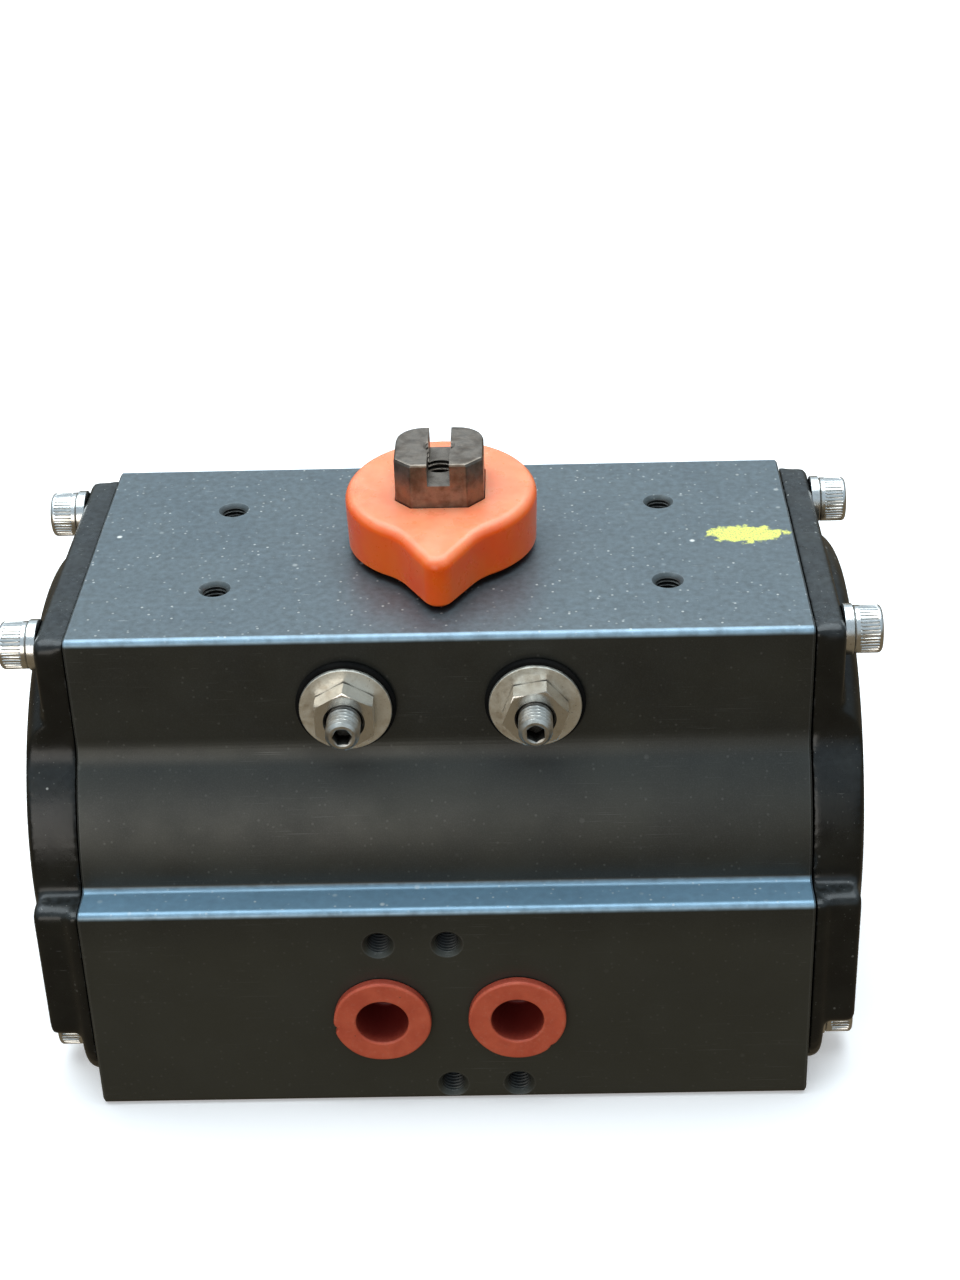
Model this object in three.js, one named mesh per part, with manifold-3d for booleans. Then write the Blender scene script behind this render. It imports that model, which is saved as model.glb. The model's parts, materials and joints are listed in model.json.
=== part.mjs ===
// Quarter-turn rack-and-pinion pneumatic actuator, double acting, built as an assembly.
// Millimetres. The origin is on the pinion axis at the mounting face under the body.
// +X runs along the cylinder, -Y is the side with the air ports, +Z points up to the indicator.
import * as THREE from 'three';
import { mergeVertices } from 'three/addons/utils/BufferGeometryUtils.js';
import Module from 'manifold-3d';

const wasm = await Module();
wasm.setup();

// ---------------------------------------------------------------- driving dimensions
const SLIP = 0.15; // air gap between pieces that touch on the real object
const FREE = 0.3; // running gap between pieces that move past each other
const POKE = 1; // how far a cutting tool reaches past the face it cuts

const BODY_LENGTH = 128;
const EDGE_ROUND = 1.2; // small rounds along the extruded body
const BODY_HEIGHT = 88.5;
const TOP_HALF_WIDTH = 32.5;
const BARREL_HALF_WIDTH = 42; // half the width of the body beside the bore
const SHOULDER_Z = 65.6; // where the flat upper sides turn into the round barrel
const PAD_Y = 48.9; // face of the port pad, from the pinion axis
const LEDGE_Z = 43.1; // top of the port pad
const BORE_Z = 42;
const BORE_RADIUS = 31.5;

const FACE_X = BODY_LENGTH / 2; // where a cap meets the body
const CAP_INSET = 1.1; // the caps are this much smaller than the body all round
const CAP_BOTTOM_ROUND = 12;
const FLANGE_THICK = 3;
const BOSS_RADIUS = 43.8;
const BOSS_Z = 40.8;
const BOSS_X = FACE_X + 9.5; // outer face of the round boss
const BOSS_ROUND = 6;
const UPPER_BLOCK_BOTTOM = 67;
const SIDE_LUG_BOTTOM = 13.6;
const UPPER_SEAT_X = FACE_X + 5.65; // where the upper screw washers sit
const LOWER_SEAT_X = FACE_X + FLANGE_THICK - 0.1; // a shallow spot face in the flange
const CHAMBER_RADIUS = 27;
const CHAMBER_DEPTH = 5;

const CAP_SCREW = { shank: 2.3, head: 4.2, headHigh: 5, socket: 4, socketDeep: 2.5, shankLong: 18 };
const CAP_WASHER = { inner: 2.7, outer: 4.5, thick: 1.6 };
const UPPER_SCREW = { y: 24.4, z: BODY_HEIGHT - 5.1 };
const LOWER_SCREW = { y: 34, z: 7 };

// Interface for accessories on top and for a valve on the port pad.
const TOP_HOLES = { x: 40, y: 15 };
const TAPPED_RADIUS = 2.1; // M5 drawn at its core size
const TAPPED_DEEP = 8;
const PORT_X = 12;
const PORT_Z = 19.6;
const PORT_RADIUS = 5.85;
const PORT_DEEP = 12;
const PAD_ROW = 16; // pad holes lie this far above and below the ports

// Interface to the valve below the body: two bolt circles and a centring recess.
const SMALL_CIRCLE = { radius: 25, hole: 2.5, deep: 10 };
const LARGE_CIRCLE = { radius: 35, hole: 3.4, deep: 14 };
const RECESS = { radius: 17.6, deep: 3 };
const DRIVE = { square: 14, deep: 18 };

// Rack and pinion.
const MODULE = 1.5;
const TEETH = 16;
const PRESSURE_ANGLE = THREE.MathUtils.degToRad(20);
const PITCH_RADIUS = (MODULE * TEETH) / 2;
const TOOTH_PITCH = Math.PI * MODULE;
const TIP_RADIUS = PITCH_RADIUS + MODULE;
const ROOT_RADIUS = PITCH_RADIUS - 1.1 * MODULE;
const BACKLASH = 0.05; // taken off each flank of a pinion tooth
const GEAR_Z = [28, 56];

// Pinion shaft from bottom to top.
const PINION_BOTTOM = 0.4;
const PINION_TOP = BODY_HEIGHT + 20;
const LOWER_JOURNAL = 12;
const LOWER_GROOVE = { z: 3.7, wide: 2.8, radius: 11.1 };
const CAM_SEAT_FLATS = 21; // octagon across its flats
const UPPER_JOURNAL = 9.5;
const UPPER_GROOVE = { z: 85, wide: 2.7, radius: 8.5 };
const CLIP_GROOVE = { z: BODY_HEIGHT + 1.6, wide: 1.4, radius: 8.7 };
const HEAD_HALF = 7.9;
const HEAD_CHAMFER = 2.9;
const HEAD_BOTTOM = CLIP_GROOVE.z + CLIP_GROOVE.wide;
const SLOT = { wide: 4, deep: 4.2 };
const HEAD_THREAD = { radius: 2.5, deep: 14 };

const LOWER_HOLE = 14.5; // through the bottom wall
const UPPER_HOLE = 11.8; // through the top wall

// Travel stops.
const STOP = { x: 16.3, z: BODY_HEIGHT - 13.3, radius: 2.95, outEnd: 43.1, tip: 6.3, socket: 3 };
const STOP_SEAL = { outer: 8.7, inner: 3.4, thick: 1.2 };
const STOP_WASHER = { outer: 8, inner: 3.3, thick: 0.8 };
const STOP_NUT = { flats: 10, inner: 3.15, thick: 3.8 };
const CAM = { z: [70.5, 78.2], hub: 13.5, lobe: 21.8, face: 6 };
const CAM_POCKET = { z: [69.6, 79], radius: 23 };

// Position indicator on top of the pinion.
// The indicator's top face climbs towards the back by this much per millimetre.
const INDICATOR = { bottom: BODY_HEIGHT + 1.2, top: BODY_HEIGHT + 12.1, slope: 0.065, radius: 17.3 };
const INDICATOR_EDGES = { top: 2, bottom: 0.8 };
const INDICATOR_TIP = { y: 25.6, radius: 3, root: 0.45 }; // root: angle from -Y where it leaves the disc

// Pistons, drawn closed, that is pushed in towards the pinion.
const PISTON_RADIUS = 31.2;
const PISTON_X = [28.5, 42.5];
const ARM_END = -25.5;
const ARM_Z = [29, 55];
const ARM_BACK_RADIUS = 29.8;
const RACK_ADDENDUM = 1.3;
const RACK_DEDENDUM = 1.25 * MODULE;
const RACK_SPACES = [-5, -4, -3, -2, -1, 0, 1];

const AIR_LINE = { y: -38.5, z: 29.5, radius: 2.2 }; // drilling from the right port to both caps

// Centre and radius of the barrel's round sides, from the two widths they join.
const BARREL_RISE = SHOULDER_Z - BORE_Z;
const BARREL_CENTRE = (BARREL_HALF_WIDTH ** 2 - TOP_HALF_WIDTH ** 2 - BARREL_RISE ** 2)
  / (2 * (BARREL_HALF_WIDTH - TOP_HALF_WIDTH));
const BARREL_RADIUS = BARREL_HALF_WIDTH - BARREL_CENTRE;

// ---------------------------------------------------------------- solids and booleans
const ALONG_X = new THREE.Matrix4().makeBasis(
  new THREE.Vector3(0, 1, 0), new THREE.Vector3(0, 0, 1), new THREE.Vector3(1, 0, 0));
const TO_FRONT = new THREE.Matrix4().makeBasis(
  new THREE.Vector3(1, 0, 0), new THREE.Vector3(0, 0, 1), new THREE.Vector3(0, -1, 0));

function signedVolume(geometry) {
  const p = geometry.attributes.position;
  const index = geometry.index;
  const a = new THREE.Vector3();
  const b = new THREE.Vector3();
  const c = new THREE.Vector3();
  let sum = 0;
  for (let i = 0; i < index.count; i += 3) {
    a.fromBufferAttribute(p, index.getX(i));
    b.fromBufferAttribute(p, index.getX(i + 1));
    c.fromBufferAttribute(p, index.getX(i + 2));
    sum += a.dot(b.cross(c)) / 6;
  }
  return sum;
}

// Welds a geometry into one closed skin whose faces look outwards.
function welded(geometry) {
  const bare = geometry.clone();
  bare.deleteAttribute('normal');
  bare.deleteAttribute('uv');
  const skin = mergeVertices(bare, 1e-4);
  if (signedVolume(skin) < 0) {
    const index = skin.index;
    for (let i = 0; i < index.count; i += 3) {
      const first = index.getX(i);
      index.setX(i, index.getX(i + 1));
      index.setX(i + 1, first);
    }
  }
  return skin;
}

function toManifold(geometry) {
  const skin = welded(geometry);
  const mesh = new wasm.Mesh({
    numProp: 3,
    vertProperties: new Float32Array(skin.attributes.position.array),
    triVerts: new Uint32Array(skin.index.array),
  });
  mesh.merge();
  return new wasm.Manifold(mesh);
}

function fromManifold(solid) {
  const mesh = solid.getMesh();
  const geometry = new THREE.BufferGeometry();
  geometry.setAttribute('position', new THREE.BufferAttribute(new Float32Array(mesh.vertProperties), 3));
  geometry.setIndex(new THREE.BufferAttribute(new Uint32Array(mesh.triVerts), 1));
  return geometry;
}

function joined(geometries) {
  return fromManifold(geometries.map(toManifold).reduce((sum, next) => sum.add(next)));
}

function cut(geometry, tools) {
  return fromManifold(tools.map(toManifold).reduce((left, tool) => left.subtract(tool), toManifold(geometry)));
}

function common(first, second) {
  return fromManifold(toManifold(first).intersect(toManifold(second)));
}

// Mirror image across the plane x = 0.
function mirrored(geometry) {
  return welded(geometry.clone().applyMatrix4(new THREE.Matrix4().makeScale(-1, 1, 1)));
}

// Spins [radius, height] pairs about +Z.
function turned(profile, segments) {
  const points = profile.map(([radius, height]) => new THREE.Vector2(radius, height));
  return new THREE.LatheGeometry(points, segments).rotateX(Math.PI / 2);
}

function rod(radius, from, to, segments = 24) {
  return turned([[0, from], [radius, from], [radius, to], [0, to]], segments);
}

function tube(inner, outer, from, to, segments = 24) {
  return turned([[inner, from], [outer, from], [outer, to], [inner, to], [inner, from]], segments);
}

function ringSeal(radius, thickness, around = 24, across = 5) {
  return new THREE.TorusGeometry(radius, thickness, across, around);
}

function prism(shape, from, to, curveSegments = 3) {
  const geometry = new THREE.ExtrudeGeometry(shape, { depth: to - from, bevelEnabled: false, curveSegments });
  return geometry.translate(0, 0, from);
}

function box(x, y, z) {
  const geometry = new THREE.BoxGeometry(x[1] - x[0], y[1] - y[0], z[1] - z[0]);
  return geometry.translate((x[0] + x[1]) / 2, (y[0] + y[1]) / 2, (z[0] + z[1]) / 2);
}

function alongX(geometry) {
  return geometry.applyMatrix4(ALONG_X);
}

function toFront(geometry) {
  return geometry.applyMatrix4(TO_FRONT);
}

// A straight round hole between two points.
function drilling(start, end, radius, segments = 16) {
  const a = new THREE.Vector3(...start);
  const b = new THREE.Vector3(...end);
  const turn = new THREE.Quaternion().setFromUnitVectors(
    new THREE.Vector3(0, 0, 1), b.clone().sub(a).normalize());
  return rod(radius, 0, a.distanceTo(b), segments).applyQuaternion(turn).translate(a.x, a.y, a.z);
}

// Points along an arc from one angle to another, both ends included.
function arcPoints(x, y, radius, from, to, steps) {
  const points = [];
  for (let i = 0; i <= steps; i += 1) {
    const angle = from + ((to - from) * i) / steps;
    points.push([x + radius * Math.cos(angle), y + radius * Math.sin(angle)]);
  }
  return points;
}

// Closed skin over a stack of rings with equally many points, with a flat face at each end.
function stacked(rings) {
  const count = rings[0].length;
  const points = rings.flat();
  const faces = [];
  for (let level = 0; level + 1 < rings.length; level += 1) {
    for (let i = 0; i < count; i += 1) {
      const here = level * count + i;
      const next = level * count + ((i + 1) % count);
      faces.push(here, next, next + count, here, next + count, here + count);
    }
  }
  const last = (rings.length - 1) * count;
  for (let i = 1; i + 1 < count; i += 1) {
    faces.push(0, i + 1, i, last, last + i, last + i + 1);
  }
  const geometry = new THREE.BufferGeometry().setFromPoints(points);
  geometry.setIndex(faces);
  return geometry;
}

function polygon(sides, acrossFlats, turn = 0) {
  const radius = acrossFlats / 2 / Math.cos(Math.PI / sides);
  const shape = new THREE.Shape();
  for (let i = 0; i < sides; i += 1) {
    const angle = turn + (i * 2 * Math.PI) / sides;
    if (i === 0) shape.moveTo(radius * Math.cos(angle), radius * Math.sin(angle));
    else shape.lineTo(radius * Math.cos(angle), radius * Math.sin(angle));
  }
  shape.closePath();
  return shape;
}

function material(color, roughness, metalness) {
  return new THREE.MeshStandardMaterial({ color, roughness, metalness });
}

function piece(name, geometry, look) {
  const sharp = welded(geometry).toNonIndexed();
  sharp.computeVertexNormals();
  const mesh = new THREE.Mesh(sharp, look);
  mesh.name = name;
  return mesh;
}

// ---------------------------------------------------------------- looks
const hardCoat = () => material(0x3a3d42, 0.45, 0.6);
const blackPaint = () => material(0x131315, 0.3, 0.1);
const stainless = () => material(0xb9bbbd, 0.25, 1);
const nickel = () => material(0xc2bfb6, 0.3, 1);
const rubber = () => material(0x1a1a1a, 0.7, 0);
const bearingPlastic = () => material(0xe8e2d0, 0.5, 0);
const castAluminium = () => material(0x9da0a3, 0.45, 0.9);
const orangePlastic = () => material(0xf06428, 0.3, 0);
const plugPlastic = () => material(0xc2543a, 0.5, 0);

// ---------------------------------------------------------------- body
// Cross-section of the body in the (y, z) plane, drawn smaller by the inset. Both sides are alike.
// The caps use the same outline with larger rounds at the bottom.
function bodySection(inset, bottomRound = EDGE_ROUND) {
  const edge = EDGE_ROUND;
  const side = TOP_HALF_WIDTH - inset;
  const top = BODY_HEIGHT - inset;
  const barrel = BARREL_RADIUS - inset;
  const pad = PAD_Y - inset;
  const ledge = LEDGE_Z - inset;
  const filletTop = ledge + edge;
  const barrelFoot = Math.asin((filletTop - BORE_Z) / barrel);
  const shoulder = Math.acos((side - BARREL_CENTRE) / barrel);
  const footY = BARREL_CENTRE + barrel * Math.cos(barrelFoot);
  const quarter = Math.PI / 2;
  const rear = [
    ...arcPoints(pad - bottomRound, inset + bottomRound, bottomRound, -quarter, 0, bottomRound > edge ? 5 : 2),
    ...arcPoints(pad - edge, ledge - edge, edge, 0, quarter, 2),
    ...arcPoints(footY + edge, filletTop, edge, 3 * quarter, 2 * quarter, 2),
    ...arcPoints(BARREL_CENTRE, BORE_Z, barrel, barrelFoot, shoulder, 6).slice(1),
    ...arcPoints(side - edge, top - edge, edge, 0, quarter, 2),
  ];
  const front = rear.map(([y, z]) => [-y, z]).reverse();
  return new THREE.Shape([...rear, ...front].map(([y, z]) => new THREE.Vector2(y, z)));
}

function tappedHole(radius, deep) {
  return rod(radius, -deep, POKE, 12);
}

function topHoles() {
  const signs = [[1, 1], [1, -1], [-1, 1], [-1, -1]];
  return signs.map(([sx, sy]) =>
    tappedHole(TAPPED_RADIUS, TAPPED_DEEP).translate(sx * TOP_HOLES.x, sy * TOP_HOLES.y, BODY_HEIGHT));
}

function padHoles() {
  const places = [[-PORT_X, PAD_ROW], [0, PAD_ROW], [0, -PAD_ROW], [PORT_X, -PAD_ROW]];
  return places.map(([x, rise]) =>
    toFront(tappedHole(TAPPED_RADIUS, TAPPED_DEEP)).translate(x, -PAD_Y, PORT_Z + rise));
}

function mountingHoles() {
  const holes = [];
  for (const circle of [SMALL_CIRCLE, LARGE_CIRCLE]) {
    for (let i = 0; i < 4; i += 1) {
      const angle = Math.PI / 4 + (i * Math.PI) / 2;
      const x = circle.radius * Math.cos(angle);
      const y = circle.radius * Math.sin(angle);
      holes.push(tappedHole(circle.hole, circle.deep).rotateX(Math.PI).translate(x, y, 0));
    }
  }
  return holes;
}

// The left port opens into the space between the pistons, the right port into the two end chambers.
function airPassages() {
  const port = (x) => toFront(rod(PORT_RADIUS, -PORT_DEEP, POKE, 20)).translate(x, -PAD_Y, PORT_Z);
  const middle = drilling([-PORT_X, -PAD_Y + PORT_DEEP - POKE, PORT_Z], [-PORT_X, -18, PORT_Z], 2.5, 10);
  const link = drilling([PORT_X, -43.5, PORT_Z + 2], [PORT_X, AIR_LINE.y, AIR_LINE.z], 2, 10);
  const line = alongX(rod(AIR_LINE.radius, -FACE_X - POKE, FACE_X + POKE, 12))
    .translate(0, AIR_LINE.y, AIR_LINE.z);
  return [port(-PORT_X), port(PORT_X), middle, link, line];
}

// Grooves for the big seal round the bore and the small one round the air line, in one end face.
function sealGrooves(side) {
  const depth = 1.7;
  const x = side > 0 ? [FACE_X - depth, FACE_X + POKE] : [-FACE_X - POKE, -FACE_X + depth];
  const smallX = side > 0 ? [FACE_X - 1.2, FACE_X + POKE] : [-FACE_X - POKE, -FACE_X + 1.2];
  return [
    alongX(tube(32.7, 35, x[0], x[1], 32)).translate(0, 0, BORE_Z),
    alongX(tube(3.2, 4.9, smallX[0], smallX[1], 12)).translate(0, AIR_LINE.y, AIR_LINE.z),
  ];
}

function screwPlaces() {
  const places = [];
  for (const [endName, side] of [['right', 1], ['left', -1]]) {
    for (const [depthName, depth] of [['front', -1], ['rear', 1]]) {
      places.push({ name: `${endName}_upper_${depthName}`, side, y: depth * UPPER_SCREW.y, z: UPPER_SCREW.z,
        seat: UPPER_SEAT_X });
      places.push({ name: `${endName}_lower_${depthName}`, side, y: depth * LOWER_SCREW.y, z: LOWER_SCREW.z,
        seat: LOWER_SEAT_X });
    }
  }
  return places;
}

function body() {
  const solid = alongX(prism(bodySection(0), -FACE_X, FACE_X));
  const tools = [
    alongX(rod(BORE_RADIUS, -FACE_X - POKE, FACE_X + POKE, 48)).translate(0, 0, BORE_Z),
    rod(CAM_POCKET.radius, CAM_POCKET.z[0] - 12, CAM_POCKET.z[1], 32),
    rod(UPPER_HOLE, CAM_POCKET.z[1] - POKE, BODY_HEIGHT + POKE, 28),
    rod(LOWER_HOLE, RECESS.deep - POKE, BORE_Z, 28),
    rod(RECESS.radius, -POKE, RECESS.deep, 32),
    ...topHoles(), ...padHoles(), ...mountingHoles(), ...airPassages(),
    ...sealGrooves(1), ...sealGrooves(-1),
  ];
  for (const x of [-STOP.x, STOP.x]) {
    tools.push(toFront(rod(STOP.radius + FREE, 5, TOP_HALF_WIDTH + POKE, 16)).translate(x, 0, STOP.z));
  }
  for (const { side, y, z } of screwPlaces()) {
    const x = side > 0 ? [FACE_X - 16, FACE_X + POKE] : [-FACE_X - POKE, -FACE_X + 16];
    tools.push(alongX(rod(CAP_SCREW.shank + FREE, x[0], x[1], 12)).translate(0, y, z));
  }
  return piece('body', cut(solid, tools), hardCoat());
}

// ---------------------------------------------------------------- end caps
// A block on the cap from its flange out to outerX, with rounded corners and softened outer edges.
function lug([lowY, highY], [lowZ, highZ], outerX) {
  const corner = 2;
  const soft = 1.3;
  const ring = (inset, x) => {
    const radius = corner - inset;
    const centres = [[highY, highZ], [lowY, highZ], [lowY, lowZ], [highY, lowZ]].map(([y, z]) => [
      y + (y === highY ? -corner : corner), z + (z === highZ ? -corner : corner)]);
    return centres.flatMap(([y, z], quarter) =>
      arcPoints(y, z, radius, quarter * (Math.PI / 2), (quarter + 1) * (Math.PI / 2), 2)
        .map(([py, pz]) => new THREE.Vector3(py, pz, x)));
  };
  const rings = [ring(0, FACE_X + 1)];
  for (const angle of [0, Math.PI / 4, Math.PI / 2]) {
    rings.push(ring(soft * (1 - Math.cos(angle)), outerX - soft + soft * Math.sin(angle)));
  }
  return alongX(stacked(rings));
}

function capBoss() {
  const inner = FACE_X + SLIP;
  const profile = [[0, inner], [BOSS_RADIUS, inner]];
  const steps = 3;
  for (let i = 0; i <= steps; i += 1) {
    const angle = (i / steps) * (Math.PI / 2);
    profile.push([
      BOSS_RADIUS - BOSS_ROUND + BOSS_ROUND * Math.cos(angle),
      BOSS_X - BOSS_ROUND + BOSS_ROUND * Math.sin(angle),
    ]);
  }
  profile.push([0, BOSS_X]);
  return alongX(turned(profile, 40)).translate(0, 0, BOSS_Z);
}

function upperBlock() {
  const outer = TOP_HALF_WIDTH - CAP_INSET;
  return lug([-outer, outer], [UPPER_BLOCK_BOTTOM, BODY_HEIGHT - CAP_INSET], UPPER_SEAT_X);
}

function sideLug(side) {
  const outer = PAD_Y - 2.4;
  const across = side > 0 ? [28, outer] : [-outer, -28];
  return lug(across, [SIDE_LUG_BOTTOM, LEDGE_Z - CAP_INSET], BOSS_X - 1);
}

function capGeometry() {
  const outline = alongX(prism(bodySection(CAP_INSET, CAP_BOTTOM_ROUND), FACE_X + SLIP, BOSS_X + POKE));
  const flange = alongX(prism(bodySection(CAP_INSET, CAP_BOTTOM_ROUND), FACE_X + SLIP, FACE_X + FLANGE_THICK));
  const raised = joined([capBoss(), upperBlock(), sideLug(1), sideLug(-1)]);
  const solid = joined([flange, common(raised, outline)]);
  const tools = [
    alongX(rod(CHAMBER_RADIUS, FACE_X - POKE, FACE_X + CHAMBER_DEPTH, 28)).translate(0, 0, BORE_Z),
    alongX(rod(AIR_LINE.radius - 0.2, FACE_X - POKE, FACE_X + 5.2, 10)).translate(0, AIR_LINE.y, AIR_LINE.z),
    drilling([FACE_X + 3.4, AIR_LINE.y, AIR_LINE.z], [FACE_X + 3.4, -20, AIR_LINE.z], 1.5, 8),
  ];
  for (const { side, y, z, seat } of screwPlaces()) {
    if (side < 0) continue;
    tools.push(alongX(rod(CAP_SCREW.shank + 0.5, FACE_X - POKE, BOSS_X + POKE, 12)).translate(0, y, z));
    tools.push(alongX(rod(CAP_WASHER.outer + 0.9, seat, BOSS_X + POKE, 20)).translate(0, y, z));
  }
  return cut(solid, tools);
}

function endCaps() {
  const right = capGeometry();
  return [piece('end_cap_right', right, blackPaint()), piece('end_cap_left', mirrored(right), blackPaint())];
}

function capSeals() {
  const pieces = [];
  for (const [name, side] of [['right', 1], ['left', -1]]) {
    const big = alongX(ringSeal(33.85, 0.78)).translate(side * (FACE_X - 0.8), 0, BORE_Z);
    const small = alongX(ringSeal(4.05, 0.55, 12)).translate(side * (FACE_X - 0.55), AIR_LINE.y, AIR_LINE.z);
    pieces.push(piece(`end_cap_seal_${name}`, big, rubber()));
    pieces.push(piece(`air_line_seal_${name}`, small, rubber()));
  }
  return pieces;
}

// A socket-head screw along +Z with its head resting at z = 0 and its shank below.
function capScrewGeometry() {
  const { shank, head, headHigh, shankLong, socket, socketDeep } = CAP_SCREW;
  const soft = 0.5;
  const solid = turned([[0, -shankLong], [shank, -shankLong], [shank, 0], [head, 0],
    [head, headHigh - soft], [head - soft, headHigh], [0, headHigh]], 16);
  return cut(solid, [prism(polygon(6, socket), headHigh - socketDeep, headHigh + POKE)]);
}

function capScrews() {
  const pieces = [];
  const { inner, outer, thick } = CAP_WASHER;
  for (const { name, side, y, z, seat } of screwPlaces()) {
    const flip = side > 0 ? 0 : Math.PI; // left-hand screws point the other way
    const washerX = seat + 0.05;
    const washer = alongX(tube(inner, outer, washerX, washerX + thick, 16)).rotateZ(flip);
    const screw = alongX(capScrewGeometry().translate(0, 0, washerX + thick + 0.05)).rotateZ(flip);
    pieces.push(piece(`cap_washer_${name}`, washer.translate(0, y, z), stainless()));
    pieces.push(piece(`cap_screw_${name}`, screw.translate(0, y, z), stainless()));
  }
  return pieces;
}

// ---------------------------------------------------------------- pinion
// Half of one tooth as [radius, angle from the tooth's middle], from the root to the tip.
function toothFlank() {
  const base = PITCH_RADIUS * Math.cos(PRESSURE_ANGLE);
  const involute = (radius) => {
    const angle = Math.acos(Math.min(1, base / radius));
    return Math.tan(angle) - angle;
  };
  const halfAtPitch = (TOOTH_PITCH / 4 - BACKLASH) / PITCH_RADIUS;
  const offset = halfAtPitch + involute(PITCH_RADIUS);
  const steps = 2;
  const flank = [[ROOT_RADIUS, offset + 0.02]];
  for (let i = 0; i <= steps; i += 1) {
    const radius = base + ((TIP_RADIUS - base) * i) / steps;
    flank.push([radius, offset - involute(radius)]);
  }
  return flank;
}

function gearOutline() {
  const flank = toothFlank();
  const points = [];
  for (let tooth = 0; tooth < TEETH; tooth += 1) {
    const middle = Math.PI / 2 + (tooth * 2 * Math.PI) / TEETH; // one tooth faces each rack squarely
    for (const [radius, half] of flank) points.push([radius, middle - half]);
    for (const [radius, half] of [...flank].reverse()) points.push([radius, middle + half]);
  }
  return new THREE.Shape(points.map(([r, a]) => new THREE.Vector2(r * Math.cos(a), r * Math.sin(a))));
}

function chamferedSquare(half, chamfer) {
  const inner = half - chamfer;
  const corners = [[half, -inner], [half, inner], [inner, half], [-inner, half],
    [-half, inner], [-half, -inner], [-inner, -half], [inner, -half]];
  return new THREE.Shape(corners.map(([x, y]) => new THREE.Vector2(x, y)));
}

function pinionShaft() {
  const lower = LOWER_GROOVE;
  const upper = UPPER_GROOVE;
  const clip = CLIP_GROOVE;
  const waist = ROOT_RADIUS - 0.35;
  return turned([
    [0, PINION_BOTTOM], [LOWER_JOURNAL - 0.6, PINION_BOTTOM], [LOWER_JOURNAL, PINION_BOTTOM + 0.6],
    [LOWER_JOURNAL, lower.z], [lower.radius, lower.z], [lower.radius, lower.z + lower.wide],
    [LOWER_JOURNAL, lower.z + lower.wide], [LOWER_JOURNAL, GEAR_Z[0] - 1], [waist, GEAR_Z[0] - 1],
    [waist, CAM.z[0]], [UPPER_JOURNAL, CAM.z[0]], [UPPER_JOURNAL, upper.z], [upper.radius, upper.z],
    [upper.radius, upper.z + upper.wide], [UPPER_JOURNAL, upper.z + upper.wide], [UPPER_JOURNAL, clip.z],
    [clip.radius, clip.z], [clip.radius, HEAD_BOTTOM], [HEAD_HALF - HEAD_CHAMFER, HEAD_BOTTOM],
    [HEAD_HALF - HEAD_CHAMFER, HEAD_BOTTOM + 1], [0, HEAD_BOTTOM + 1],
  ], 24);
}

function driveSocket() {
  const tools = [];
  for (const turn of [0, Math.PI / 4]) {
    tools.push(prism(polygon(4, DRIVE.square, turn), PINION_BOTTOM - POKE, DRIVE.deep));
  }
  return tools;
}

function pinion() {
  const head = prism(chamferedSquare(HEAD_HALF, HEAD_CHAMFER), HEAD_BOTTOM - 0.02, PINION_TOP);
  const seat = prism(polygon(8, CAM_SEAT_FLATS, Math.PI / 8), CAM.z[0] - 0.5, CAM.z[1] + 0.3);
  const gear = prism(gearOutline(), GEAR_Z[0], GEAR_Z[1], 1);
  const solid = joined([pinionShaft(), gear, seat, head]);
  const slot = box([-SLOT.wide / 2, SLOT.wide / 2], [-HEAD_HALF - POKE, HEAD_HALF + POKE],
    [PINION_TOP - SLOT.deep, PINION_TOP + POKE]);
  const thread = rod(HEAD_THREAD.radius, PINION_TOP - SLOT.deep - HEAD_THREAD.deep, PINION_TOP + POKE, 14);
  return piece('pinion', cut(solid, [slot, thread, ...driveSocket()]), nickel());
}

function stopCam() {
  const hub = rod(CAM.hub, CAM.z[0], CAM.z[1], 28);
  const disc = rod(CAM.lobe, CAM.z[0], CAM.z[1], 36);
  const quarter = box([-CAM.face, CAM.lobe + POKE], [-CAM.face, CAM.lobe + POKE],
    [CAM.z[0] - POKE, CAM.z[1] + POKE]);
  const hole = prism(polygon(8, CAM_SEAT_FLATS + 2 * SLIP, Math.PI / 8), CAM.z[0] - POKE, CAM.z[1] + POKE);
  return piece('stop_cam', cut(joined([hub, common(disc, quarter)]), [hole]), castAluminium());
}

function shaftSmallParts() {
  const topSealZ = UPPER_GROOVE.z + UPPER_GROOVE.wide / 2;
  const bottomSealZ = LOWER_GROOVE.z + LOWER_GROOVE.wide / 2;
  const bottomFrom = LOWER_GROOVE.z + LOWER_GROOVE.wide + 0.3;
  const clipFrom = CLIP_GROOVE.z + 0.15;
  const clip = cut(tube(CLIP_GROOVE.radius + 0.1, 12, clipFrom, clipFrom + 1.1, 24),
    [box([-3, 3], [8, 14], [clipFrom - POKE, clipFrom + 2 * POKE])]);
  return [
    piece('pinion_bearing_top', tube(UPPER_JOURNAL + 0.2, UPPER_HOLE - 0.2, 79.3, 84.4), bearingPlastic()),
    piece('pinion_bearing_bottom', tube(LOWER_JOURNAL + 0.2, LOWER_HOLE - 0.2, bottomFrom, 12.5),
      bearingPlastic()),
    piece('pinion_seal_top', ringSeal(10.15, 1.1, 20).translate(0, 0, topSealZ), rubber()),
    piece('pinion_seal_bottom', ringSeal(12.8, 1.15, 20).translate(0, 0, bottomSealZ), rubber()),
    piece('thrust_washer', tube(UPPER_JOURNAL + 0.2, 13.4, BODY_HEIGHT + 0.15, BODY_HEIGHT + 1.2),
      bearingPlastic()),
    piece('retaining_clip', clip, stainless()),
  ];
}

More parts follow.
